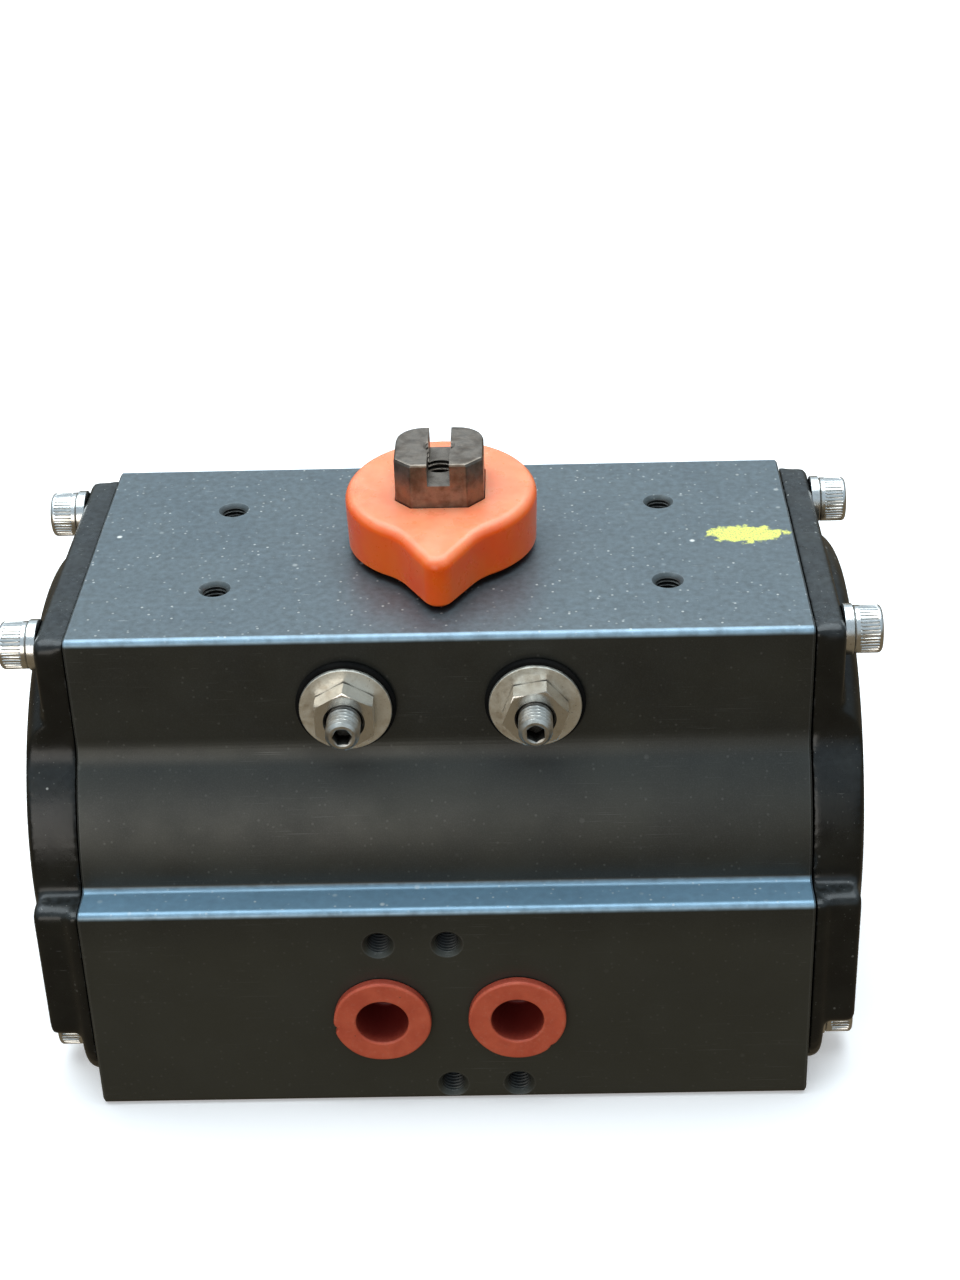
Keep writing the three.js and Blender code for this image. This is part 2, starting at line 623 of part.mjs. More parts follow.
// A disc with a narrow rounded tip on the port side.
function indicatorRing(inset, z, slope = 0) {
  const { radius } = INDICATOR;
  const { y: tipY, radius: tipRadius, root } = INDICATOR_TIP;
  const tipCentre = tipY - tipRadius;
  const across = radius * Math.sin(root);
  const along = tipCentre - radius * Math.cos(root);
  // The tip's straight side runs from the disc to where it just touches the tip's arc.
  const touch = Math.PI / 2 + Math.atan2(along, across) - Math.acos(tipRadius / Math.hypot(across, along));
  const down = -Math.PI / 2;
  const disc = arcPoints(0, 0, radius - inset, down + root, down + 2 * Math.PI - root, 36);
  const tip = arcPoints(0, -tipCentre, tipRadius - inset, down - touch, down + touch, 5);
  return [...disc, ...tip].map(([x, y]) => new THREE.Vector3(x, y, z + slope * y));
}

function positionIndicator() {
  const { bottom, top, slope, radius } = INDICATOR;
  const { top: soft, bottom: foot } = INDICATOR_EDGES;
  const rings = [indicatorRing(foot, bottom), indicatorRing(0, bottom + foot)];
  for (const angle of [0, Math.PI / 4, Math.PI / 2]) {
    const inset = soft * (1 - Math.cos(angle));
    rings.push(indicatorRing(inset, top - soft + soft * Math.sin(angle), slope));
  }
  const hole = prism(chamferedSquare(HEAD_HALF + SLIP, HEAD_CHAMFER), bottom, top + slope * radius + POKE);
  const recess = rod(13.9, bottom - POKE, HEAD_BOTTOM + 0.4, 24);
  return piece('position_indicator', cut(stacked(rings), [hole, recess]), orangePlastic());
}

// ---------------------------------------------------------------- pistons
// Right-hand piston: head on the +X side, rack on the port side.
function pistonGeometry() {
  const seal = { x: [31.2, 34.4], radius: 28.4 };
  const band = { x: [36.2, 41.2], radius: 29.5 };
  const head = alongX(turned([[0, PISTON_X[0]], [PISTON_RADIUS, PISTON_X[0]], [PISTON_RADIUS, seal.x[0]],
    [seal.radius, seal.x[0]], [seal.radius, seal.x[1]], [PISTON_RADIUS, seal.x[1]],
    [PISTON_RADIUS, band.x[0]], [band.radius, band.x[0]], [band.radius, band.x[1]],
    [PISTON_RADIUS, band.x[1]], [PISTON_RADIUS, PISTON_X[1]], [22, PISTON_X[1]], [21, PISTON_X[1] - 3],
    [0, PISTON_X[1] - 3]], 32)).translate(0, 0, BORE_Z);
  const tips = -PITCH_RADIUS + RACK_ADDENDUM;
  const block = box([ARM_END, PISTON_X[0] + POKE], [-BORE_RADIUS, tips], ARM_Z);
  const round = alongX(rod(ARM_BACK_RADIUS, ARM_END - POKE, PISTON_X[0] + 2 * POKE, 36))
    .translate(0, 0, BORE_Z);
  const tools = RACK_SPACES.map((step) => rackSpace(step * TOOTH_PITCH));
  tools.push(box([-20.3, 20.3], [-BORE_RADIUS, -27], [34.7, 49.3]));
  return cut(joined([head, common(block, round)]), tools);
}

// The gap between two rack teeth, centred at x.
function rackSpace(x) {
  const lean = Math.tan(PRESSURE_ANGLE);
  const half = TOOTH_PITCH / 4 + 2 * BACKLASH;
  const open = half + (RACK_ADDENDUM + 0.5) * lean;
  const floor = half - RACK_DEDENDUM * lean;
  const mouthY = -PITCH_RADIUS + RACK_ADDENDUM + 0.5;
  const floorY = -PITCH_RADIUS - RACK_DEDENDUM;
  const outline = new THREE.Shape([[x - floor, floorY], [x + floor, floorY], [x + open, mouthY],
    [x - open, mouthY]].map(([px, py]) => new THREE.Vector2(px, py)));
  return prism(outline, ARM_Z[0] - POKE, ARM_Z[1] + POKE);
}

function guidePadGeometry() {
  const block = box([-20, 20], [-BORE_RADIUS, -27.2], [35, 49]);
  const round = alongX(rod(BORE_RADIUS - SLIP, -21, 21, 48)).translate(0, 0, BORE_Z);
  return common(block, round);
}

function pistons() {
  const piston = pistonGeometry();
  const seal = alongX(ringSeal(29.95, 1.35)).translate(32.8, 0, BORE_Z);
  const band = alongX(tube(29.7, 31.35, 36.4, 41, 36)).translate(0, 0, BORE_Z);
  const pad = guidePadGeometry();
  const pieces = [];
  for (const [name, turn] of [['right', 0], ['left', Math.PI]]) {
    const placed = (geometry) => geometry.clone().rotateZ(turn);
    pieces.push(piece(`piston_${name}`, placed(piston), castAluminium()));
    pieces.push(piece(`piston_seal_${name}`, placed(seal), rubber()));
    pieces.push(piece(`piston_guide_band_${name}`, placed(band), bearingPlastic()));
    pieces.push(piece(`rack_guide_pad_${name}`, placed(pad), bearingPlastic()));
  }
  return pieces;
}

// ---------------------------------------------------------------- travel stops
function stopScrew() {
  const { radius, outEnd, tip, socket } = STOP;
  const soft = 0.8;
  const solid = turned([[0, tip], [radius - soft, tip], [radius, tip + soft], [radius, outEnd - soft],
    [radius - soft, outEnd], [0, outEnd]], 16);
  return cut(solid, [prism(polygon(6, socket), outEnd - 3, outEnd + POKE)]);
}

function stopNut(turn) {
  const { flats, inner, thick } = STOP_NUT;
  const corner = flats / 2 / Math.cos(Math.PI / 6);
  const soft = 0.5;
  const round = turned([[0, 0], [corner - soft, 0], [corner + 0.05, soft], [corner + 0.05, thick - soft],
    [corner - soft, thick], [0, thick]], 30);
  const hex = prism(polygon(6, flats, turn), -POKE, thick + POKE);
  return cut(common(round, hex), [rod(inner, -POKE, thick + POKE, 16)]);
}

function travelStops() {
  const pieces = [];
  const sealY = TOP_HALF_WIDTH + 0.1;
  const washerY = sealY + STOP_SEAL.thick + 0.05;
  const nutY = washerY + STOP_WASHER.thick + 0.05;
  for (const [name, side, turn] of [['left', -1, Math.PI / 2], ['right', 1, Math.PI / 2 - 0.35]]) {
    const place = (geometry) => toFront(geometry).translate(side * STOP.x, 0, STOP.z);
    const seal = tube(STOP_SEAL.inner, STOP_SEAL.outer, sealY, sealY + STOP_SEAL.thick);
    const washer = tube(STOP_WASHER.inner, STOP_WASHER.outer, washerY, washerY + STOP_WASHER.thick);
    pieces.push(piece(`stop_screw_${name}`, place(stopScrew()), stainless()));
    pieces.push(piece(`stop_seal_${name}`, place(seal), rubber()));
    pieces.push(piece(`stop_washer_${name}`, place(washer), stainless()));
    pieces.push(piece(`stop_nut_${name}`, place(stopNut(turn).translate(0, 0, nutY)), stainless()));
  }
  return pieces;
}

// ---------------------------------------------------------------- port plugs
// A soft cup with a flange, pushed into each port.
function portPlugs() {
  const flange = 8.75;
  const wall = 5.55;
  const hollow = 4.65;
  const face = PAD_Y + 1.8;
  const seat = PAD_Y + 0.1;
  const inner = PAD_Y - 9.7;
  const soft = 0.5;
  const cup = turned([[0, inner], [wall, inner], [wall, seat], [flange, seat],
    [flange, face - soft], [flange - soft, face], [hollow, face], [hollow, inner + 1.2], [0, inner + 1.2]], 24);
  return [['left', -PORT_X], ['right', PORT_X]].map(([name, x]) =>
    piece(`port_plug_${name}`, toFront(cup.clone()).translate(x, 0, PORT_Z), plugPlastic()));
}

// ---------------------------------------------------------------- assembly
const actuator = new THREE.Group();
actuator.name = 'pneumatic_actuator';
actuator.add(body(), ...endCaps(), ...capSeals(), ...capScrews());
actuator.add(pinion(), stopCam(), positionIndicator(), ...shaftSmallParts());
actuator.add(...pistons(), ...travelStops(), ...portPlugs());

export default actuator;
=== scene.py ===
import json
import math
import random

import bmesh
import bpy
from mathutils import Matrix, Quaternion, Vector

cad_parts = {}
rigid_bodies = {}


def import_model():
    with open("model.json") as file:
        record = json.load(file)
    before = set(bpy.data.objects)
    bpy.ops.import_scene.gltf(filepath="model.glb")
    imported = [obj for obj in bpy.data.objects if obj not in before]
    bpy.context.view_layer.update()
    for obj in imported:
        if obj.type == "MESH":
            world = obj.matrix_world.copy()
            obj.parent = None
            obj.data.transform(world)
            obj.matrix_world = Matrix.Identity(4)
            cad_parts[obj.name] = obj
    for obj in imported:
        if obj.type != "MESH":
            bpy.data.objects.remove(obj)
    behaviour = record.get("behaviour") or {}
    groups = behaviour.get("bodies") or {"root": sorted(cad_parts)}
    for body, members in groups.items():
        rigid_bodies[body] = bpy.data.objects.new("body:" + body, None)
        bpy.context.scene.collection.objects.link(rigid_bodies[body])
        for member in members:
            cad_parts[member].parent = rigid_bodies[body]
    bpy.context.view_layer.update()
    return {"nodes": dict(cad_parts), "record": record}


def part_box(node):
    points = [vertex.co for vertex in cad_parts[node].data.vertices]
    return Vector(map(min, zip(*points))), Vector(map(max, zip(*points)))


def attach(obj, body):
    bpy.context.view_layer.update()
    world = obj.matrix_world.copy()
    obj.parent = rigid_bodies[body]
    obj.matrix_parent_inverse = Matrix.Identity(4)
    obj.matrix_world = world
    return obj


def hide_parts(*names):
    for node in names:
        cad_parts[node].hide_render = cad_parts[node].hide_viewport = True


MM = 0.001
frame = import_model()


def span(node):
    """Lowest and highest corner of a CAD node, in millimetres."""
    low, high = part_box(node)
    return Vector(low) / MM, Vector(high) / MM


# ---------------------------------------------------------------- sizes taken from the CAD parts
BODY_HIGH = span("body")[1]
FACE_X = BODY_HIGH.x  # where a cap meets the body
PAD_Y = BODY_HIGH.y  # face of the port pad
BODY_TOP = BODY_HIGH.z
PINION_LOW, PINION_HIGH = span("pinion")
CAM_LOW, CAM_HIGH = span("stop_cam")
INDICATOR_LOW, INDICATOR_HIGH = span("position_indicator")
INDICATOR_SLOPE = 0.065  # its top face climbs towards the back by this much per millimetre
INDICATOR_SOFT = 2  # rounding of its top edge
TIP_RADIUS, TIP_ROOT = 3, 0.45  # its tip, and the angle from -Y where the tip leaves the disc
TIP_BLEND = 3.2  # how far the bend between disc and tip reaches along each of them
BOSS_X = span("end_cap_right")[1].x

# ---------------------------------------------------------------- driving dimensions
SLIP = 0.15  # gap between pieces that touch
POKE = 1  # how far a cutting tool reaches past the face it cuts
QUARTER = math.pi / 2

EDGE_ROUND = 1.2
TOP_HALF_WIDTH = 32.5
BARREL_HALF_WIDTH = 42
SHOULDER_Z = 65.6
SHOULDER_BLEND = 8  # soft inner round where the flat upper side meets the barrel
LEDGE_Z = 43.1
BORE_Z = 42
BORE_RADIUS = 31.5
BARREL_RISE = SHOULDER_Z - BORE_Z
BARREL_CENTRE = (BARREL_HALF_WIDTH ** 2 - TOP_HALF_WIDTH ** 2 - BARREL_RISE ** 2) / (
    2 * (BARREL_HALF_WIDTH - TOP_HALF_WIDTH))
BARREL_RADIUS = BARREL_HALF_WIDTH - BARREL_CENTRE

TOP_HOLES = (40, 15)
PORT_X = 12
PORT_Z = 19.6
PAD_ROW = 16
M5_HOLE = {"radius": 2.1, "pitch": 0.8, "deep": 8}
PORT_HOLE = {"radius": 5.85, "pitch": 1.34, "deep": 12}
FLANGE_HOLES = (  # radius of each bolt circle under the body, and its threaded holes
    (25, {"radius": 2.5, "pitch": 1, "deep": 10}),
    (35, {"radius": 3.4, "pitch": 1.25, "deep": 14}),
)

CAP_GROOVE = {"inner": 32.7, "outer": 35, "deep": 1.7}
AIR_LINE = {"y": -38.5, "z": 29.5, "radius": 2.2, "deep": 30}
AIR_LINE_GROOVE = {"inner": 3.2, "outer": 4.9, "deep": 1.2}
SCREW_HOLE_DEEP = 16

CAP_INSET = 1.1
CAP_BOTTOM_ROUND = 12
FLANGE_THICK = 3
FLANGE_SOFT = 2  # round on the outer edge of the flange
UPPER_BLOCK_BOTTOM = 67
SIDE_LUG_BOTTOM = 13.6
BOSS_RADIUS = 43.8
BOSS_Z = 40.8
BOSS_ROUND = 6
UPPER_SEAT_X = FACE_X + 5.65
LOWER_SEAT_X = FACE_X + FLANGE_THICK - 0.1

SCREW = {"shank": 2.3, "head": 4.2, "high": 5, "socket": 4, "socket_deep": 2.5, "long": 18}
WASHER = {"inner": 2.7, "outer": 4.5, "thick": 1.6}
KNURLS = 40
KNURL_DEEP = 0.24

HEAD_BOTTOM = BODY_TOP + 3
HEAD_HALF = 7.9
HEAD_CHAMFER = 2.9
SLOT_HALF = 2
SLOT_DEEP = 4.2
HEAD_THREAD = {"radius": 2.5, "pitch": 1, "deep": 14}  # depth below the slot's floor
GEAR_Z = (28, 56)
CAM_SEAT_FLATS = 21
DRIVE = {"square": 14, "deep": 18}

STOP_RADIUS = 2.95
STOP_PITCH = 1
STOP_SOCKET = 3  # across the flats, and as deep
STOP_Z = BODY_TOP - 13.3
STOP_X = 16.3
SPOT_FACE = 9  # radius of the flat machined round each travel stop
NUT_FLATS = 10

# Local +Z turned to world +X, and to world -Y.
ALONG_X = Matrix(((0, 0, 1, 0), (1, 0, 0, 0), (0, 1, 0, 0), (0, 0, 0, 1)))
TO_FRONT = Matrix(((1, 0, 0, 0), (0, 0, -1, 0), (0, 1, 0, 0), (0, 0, 0, 1)))
UPRIGHT = Matrix.Identity(4)


def at(x, y, z, turn=UPRIGHT):
    return Matrix.Translation((x, y, z)) @ turn


# ---------------------------------------------------------------- outlines
def arc(x, y, radius, start, end, steps):
    """Points along an arc, both ends included."""
    angles = [start + (end - start) * i / steps for i in range(steps + 1)]
    return [(x + radius * math.cos(a), y + radius * math.sin(a)) for a in angles]


def rounded(corners, steps=5, closed=True):
    """Points of a line through corners (x, y, radius), each rounded by its radius."""
    points = []
    for i, (x, y, radius) in enumerate(corners):
        at_end = not closed and i in (0, len(corners) - 1)
        if radius == 0 or at_end:
            points.append((x, y))
            continue
        here = Vector((x, y))
        before = (Vector(corners[i - 1][:2]) - here).normalized()
        after = (Vector(corners[(i + 1) % len(corners)][:2]) - here).normalized()
        half = before.angle(after) / 2
        centre = here + (before + after).normalized() * radius / math.sin(half)
        start = here + before * radius / math.tan(half) - centre
        end = here + after * radius / math.tan(half) - centre
        first = math.atan2(start.y, start.x)
        sweep = (math.atan2(end.y, end.x) - first + math.pi) % (2 * math.pi) - math.pi
        points += arc(centre.x, centre.y, radius, first, first + sweep, steps)
    return points


def polygon(sides, flats, turn=0):
    radius = flats / 2 / math.cos(math.pi / sides)
    return arc(0, 0, radius, turn, turn + 2 * math.pi, sides)[:-1]


def body_section(inset, bottom_round=EDGE_ROUND):
    """Cross-section of the body in the (y, z) plane, drawn smaller by the inset."""
    edge = EDGE_ROUND
    side = TOP_HALF_WIDTH - inset
    top = BODY_TOP - inset
    barrel = BARREL_RADIUS - inset
    pad = PAD_Y - inset
    ledge = LEDGE_Z - inset
    foot = math.asin((ledge + edge - BORE_Z) / barrel)
    shoulder = math.acos((side - BARREL_CENTRE) / barrel)
    foot_y = BARREL_CENTRE + barrel * math.cos(foot)
    top_of_arc = arc(BARREL_CENTRE, BORE_Z, barrel, foot, shoulder, 7)
    blend_corners = [(*top_of_arc[-2], 0), (*top_of_arc[-1], SHOULDER_BLEND), (side, top - 5, 0)]
    blend = rounded(blend_corners, 8, closed=False)
    rear = [
        *arc(pad - bottom_round, inset + bottom_round, bottom_round, -QUARTER, 0, 8),
        *arc(pad - edge, ledge - edge, edge, 0, QUARTER, 8),
        *arc(foot_y + edge, ledge + edge, edge, 3 * QUARTER, 2 * QUARTER, 6),
        *arc(BARREL_CENTRE, BORE_Z, barrel, foot, foot + (shoulder - foot) * 6 / 7, 24)[1:],
        *blend[1:-1],
        *arc(side - edge, top - edge, edge, 0, QUARTER, 8),
    ]
    return rear + [(-y, z) for y, z in reversed(rear)]


# ---------------------------------------------------------------- solids
def skin(rings, loop=False):
    """Points and faces over a stack of rings with equally many points: flat ends, or a closed loop."""
    count = len(rings[0])
    points = [p for ring in rings for p in ring]
    faces = []
    for level in range(len(rings) if loop else len(rings) - 1):
        low = level * count
        high = (level + 1) % len(rings) * count
        for i in range(count):
            j = (i + 1) % count
            faces.append((low + i, low + j, high + j, high + i))
    if not loop:
        faces.append(tuple(reversed(range(count))))
        faces.append(tuple(range(len(points) - count, len(points))))
    return points, faces


def solid(points, faces, place=UPRIGHT):
    """A new object from points in millimetres, with its faces looking outwards."""
    mesh = bpy.data.meshes.new("solid")
    mesh.from_pydata([place @ Vector(p) * MM for p in points], [], faces)
    work = bmesh.new()
    work.from_mesh(mesh)
    bmesh.ops.recalc_face_normals(work, faces=work.faces)
    work.to_mesh(mesh)
    work.free()
    obj = bpy.data.objects.new("solid", mesh)
    bpy.context.scene.collection.objects.link(obj)
    return obj


def stack(layers, place=UPRIGHT):
    """A solid through outlines at heights: layers is a list of (outline, height)."""
    return solid(*skin([[(x, y, height) for x, y in outline] for outline, height in layers]), place)


def prism(outline, low, high, place=UPRIGHT):
    return stack([(outline, low), (outline, high)], place)


def lathe(profile, place=UPRIGHT, around=64, loop=False):
    """Spins (radius, height) pairs about local Z."""
    turns = [2 * math.pi * i / around for i in range(around)]
    rings = [[(r * math.cos(a), r * math.sin(a), z) for a in turns] for r, z in profile]
    return solid(*skin(rings, loop), place)


def block(x, y, z):
    outline = [(x[0], y[0]), (x[1], y[0]), (x[1], y[1]), (x[0], y[1])]
    return prism(outline, z[0], z[1])


def delete(obj):
    mesh = obj.data
    bpy.data.objects.remove(obj)
    bpy.data.meshes.remove(mesh)


def apply_modifiers(obj):
    bpy.context.view_layer.update()
    graph = bpy.context.evaluated_depsgraph_get()
    result = bpy.data.meshes.new_from_object(obj.evaluated_get(graph))
    plain = obj.data
    obj.modifiers.clear()
    obj.data = result
    bpy.data.meshes.remove(plain)
    return obj


def combine(target, tools, operation):
    """Joins the tools to the target, cuts them from it, or keeps what they share."""
    for tool in tools:
        step = target.modifiers.new("combine", "BOOLEAN")
        step.operation = operation
        step.solver = "MANIFOLD"
        step.object = tool
    apply_modifiers(target)
    for tool in tools:
        delete(tool)
    return target


def cut(target, tools):
    return combine(target, tools, "DIFFERENCE")


def join(target, tools):
    return combine(target, tools, "UNION")


def mirror_copy(obj):
    """A new object that is obj mirrored across x = 0."""
    mesh = obj.data.copy()
    mesh.transform(Matrix.Scale(-1, 4, (1, 0, 0)))
    mesh.flip_normals()
    copy = bpy.data.objects.new("mirrored", mesh)
    bpy.context.scene.collection.objects.link(copy)
    return copy


def tapped(radius, pitch, deep, place, sink=0.5):
    """A threaded hole to cut away: its mouth is at local z = 0 and it has a drill point."""
    groove = 0.54 * pitch
    profile = [(0.2, -deep - 0.5 * radius), (radius, -deep)]
    turns = int((deep - sink) / pitch)
    for i in range(turns):
        low = -deep + i * pitch
        profile += [(radius, low + 0.2 * pitch), (radius + groove, low + 0.6 * pitch), (radius, low + pitch)]
    profile += [(radius + groove * 0.4, -sink), (radius + sink + 0.25, 0), (radius + sink + 0.25, POKE)]
    return lathe(profile, place, 40)


def straight_hole(radius, low, high, place, flare=0.0, around=96):
    """A plain round hole to cut away, opened out by the flare at its upper end, where z is 0."""
    profile = [(radius, low), (radius, -flare), (radius + flare, 0), (radius + flare, high)]
    return lathe(profile, place, around)


# ---------------------------------------------------------------- material graphs
class Graph:
    """A procedural material being put together. Texture positions are the object's own, in metres."""

    def __init__(self, name):
        self.material = bpy.data.materials.new(name)
        self.material.use_nodes = True
        self.tree = self.material.node_tree
        self.shader = self.tree.nodes["Principled BSDF"]
        self.place = self.node("ShaderNodeTexCoord").outputs["Object"]

    def node(self, kind, **settings):
        made = self.tree.nodes.new(kind)
        for key, value in settings.items():
            setattr(made, key, value)
        return made

    def feed(self, socket, value):
        if isinstance(value, bpy.types.NodeSocket):
            self.tree.links.new(value, socket)
        else:
            socket.default_value = value

    def stretched(self, scale):
        mapping = self.node("ShaderNodeMapping")
        self.feed(mapping.inputs["Vector"], self.place)
        mapping.inputs["Scale"].default_value = scale
        return mapping.outputs[0]

    def turned(self, turn, scale):
        mapping = self.node("ShaderNodeMapping")
        self.feed(mapping.inputs["Vector"], self.place)
        mapping.inputs["Rotation"].default_value = turn
        mapping.inputs["Scale"].default_value = scale
        return mapping.outputs[0]

    def noise(self, grain_mm, detail=4, vector=None, roughness=0.55):
        """Cloudy noise from 0 to 1 whose patches are about grain_mm across."""
        made = self.node("ShaderNodeTexNoise")
        self.feed(made.inputs["Vector"], vector or self.place)
        made.inputs["Scale"].default_value = 1 / (grain_mm * MM)
        made.inputs["Detail"].default_value = detail
        made.inputs["Roughness"].default_value = roughness
        return made.outputs["Fac"]

    def level(self, value, low, high, out_low=0.0, out_high=1.0):
        """Value mapped from low..high to out_low..out_high, and held there beyond."""
        made = self.node("ShaderNodeMapRange")
        self.feed(made.inputs["Value"], value)
        sockets = ("From Min", "From Max", "To Min", "To Max")
        for socket, number in zip(sockets, (low, high, out_low, out_high)):
            made.inputs[socket].default_value = number
        return made.outputs[0]

    def math(self, operation, first, second=0.0):
        made = self.node("ShaderNodeMath", operation=operation)
        self.feed(made.inputs[0], first)
        self.feed(made.inputs[1], second)
        return made.outputs[0]

    def times(self, first, second):
        return self.math("MULTIPLY", first, second)

    def most(self, first, second):
        return self.math("MAXIMUM", first, second)

    def mix(self, share, first, second):
        """The first colour where share is 0, and the second where it is 1."""
        made = self.node("ShaderNodeMix", data_type="RGBA")
        self.feed(made.inputs["Factor"], share)
        self.feed(made.inputs[6], first)
        self.feed(made.inputs[7], second)
        return made.outputs[2]

    def facing_up(self, low=0.3, high=0.9):
        """1 on faces that look up, 0 on those that don't, in the piece's own axes."""
        parts = self.node("ShaderNodeSeparateXYZ")
        self.feed(parts.inputs[0], self.node("ShaderNodeTexCoord").outputs["Normal"])
        return self.level(parts.outputs["Z"], low, high)

    def height_mm(self):
        """Height above the mounting face."""
        parts = self.node("ShaderNodeSeparateXYZ")
        self.feed(parts.inputs[0], self.place)
        return self.math("DIVIDE", parts.outputs["Z"], MM)

    def near_line(self, y, z, reach_mm):
        """1 close to the two lines that run along X at y and -y, 0 beyond the reach."""
        parts = self.node("ShaderNodeSeparateXYZ")
        self.feed(parts.inputs[0], self.place)
        across = self.math("SUBTRACT", self.math("ABSOLUTE", parts.outputs["Y"]), y * MM)
        above = self.math("SUBTRACT", parts.outputs["Z"], z * MM)
        squares = self.math("ADD", self.times(across, across), self.times(above, above))
        return self.level(self.math("SQRT", squares), 0.5 * reach_mm * MM, reach_mm * MM, 1, 0)

    def crevice(self, reach_mm=6, low=0.22, high=0.5):
        """1 deep in holes and corners, 0 on open faces."""
        open_sky = self.node("ShaderNodeAmbientOcclusion", samples=6, only_local=False)
        open_sky.inputs["Distance"].default_value = reach_mm * MM
        return self.level(open_sky.outputs["AO"], low, high, 1, 0)

    def specks(self, spacing_mm, size, share):
        """Small dots, one in each cell about spacing_mm across, in the given share of the cells."""
        cells = self.node("ShaderNodeTexVoronoi")
        self.feed(cells.inputs["Vector"], self.place)
        cells.inputs["Scale"].default_value = 1 / (spacing_mm * MM)
        chance = self.node("ShaderNodeSeparateColor")
        self.feed(chance.inputs[0], cells.outputs["Color"])
        dot = self.level(cells.outputs["Distance"], size * 0.5, size, 1, 0)
        chosen = self.math("LESS_THAN", chance.outputs[0], share)
        strength = self.level(chance.outputs[1], 0, 1, 0.25, 1)
        return self.times(self.times(dot, chosen), strength)

    def worn_edges(self, radius_mm, low, high):
        """1 along sharp outer edges, from how far the surface turns within the radius."""
        bevel = self.node("ShaderNodeBevel", samples=4)
        bevel.inputs["Radius"].default_value = radius_mm * MM
        dot = self.node("ShaderNodeVectorMath", operation="DOT_PRODUCT")
        self.feed(dot.inputs[0], bevel.outputs[0])
        self.feed(dot.inputs[1], self.node("ShaderNodeNewGeometry").outputs["Normal"])
        return self.level(dot.outputs["Value"], low, high, 1, 0)

    def scratches(self, turn, long_mm, thin_mm, keep):
        """Fine straight scratches: noise drawn out along one direction, with only its peaks kept."""
        vector = self.turned(turn, (thin_mm / long_mm, 1, 1))
        lines = self.level(self.noise(thin_mm, 2, vector), keep, keep + 0.05)
        patches = self.level(self.noise(22, 2), 0.45, 0.6)
        return self.times(lines, patches)

    def bump(self, height, depth_mm, under=None):
        made = self.node("ShaderNodeBump")
        self.feed(made.inputs["Height"], height)
        made.inputs["Distance"].default_value = depth_mm * MM
        if under:
            self.feed(made.inputs["Normal"], under)
        return made.outputs[0]

    def finish(self, colour, roughness, normal, **fixed):
        self.feed(self.shader.inputs["Base Color"], colour)
        self.feed(self.shader.inputs["Roughness"], roughness)
        self.feed(self.shader.inputs["Normal"], normal)
        for socket, value in fixed.items():
            self.shader.inputs[socket.replace("_", " ")].default_value = value
        return self.material


def rgb(red, green, blue):
    return (red, green, blue, 1)


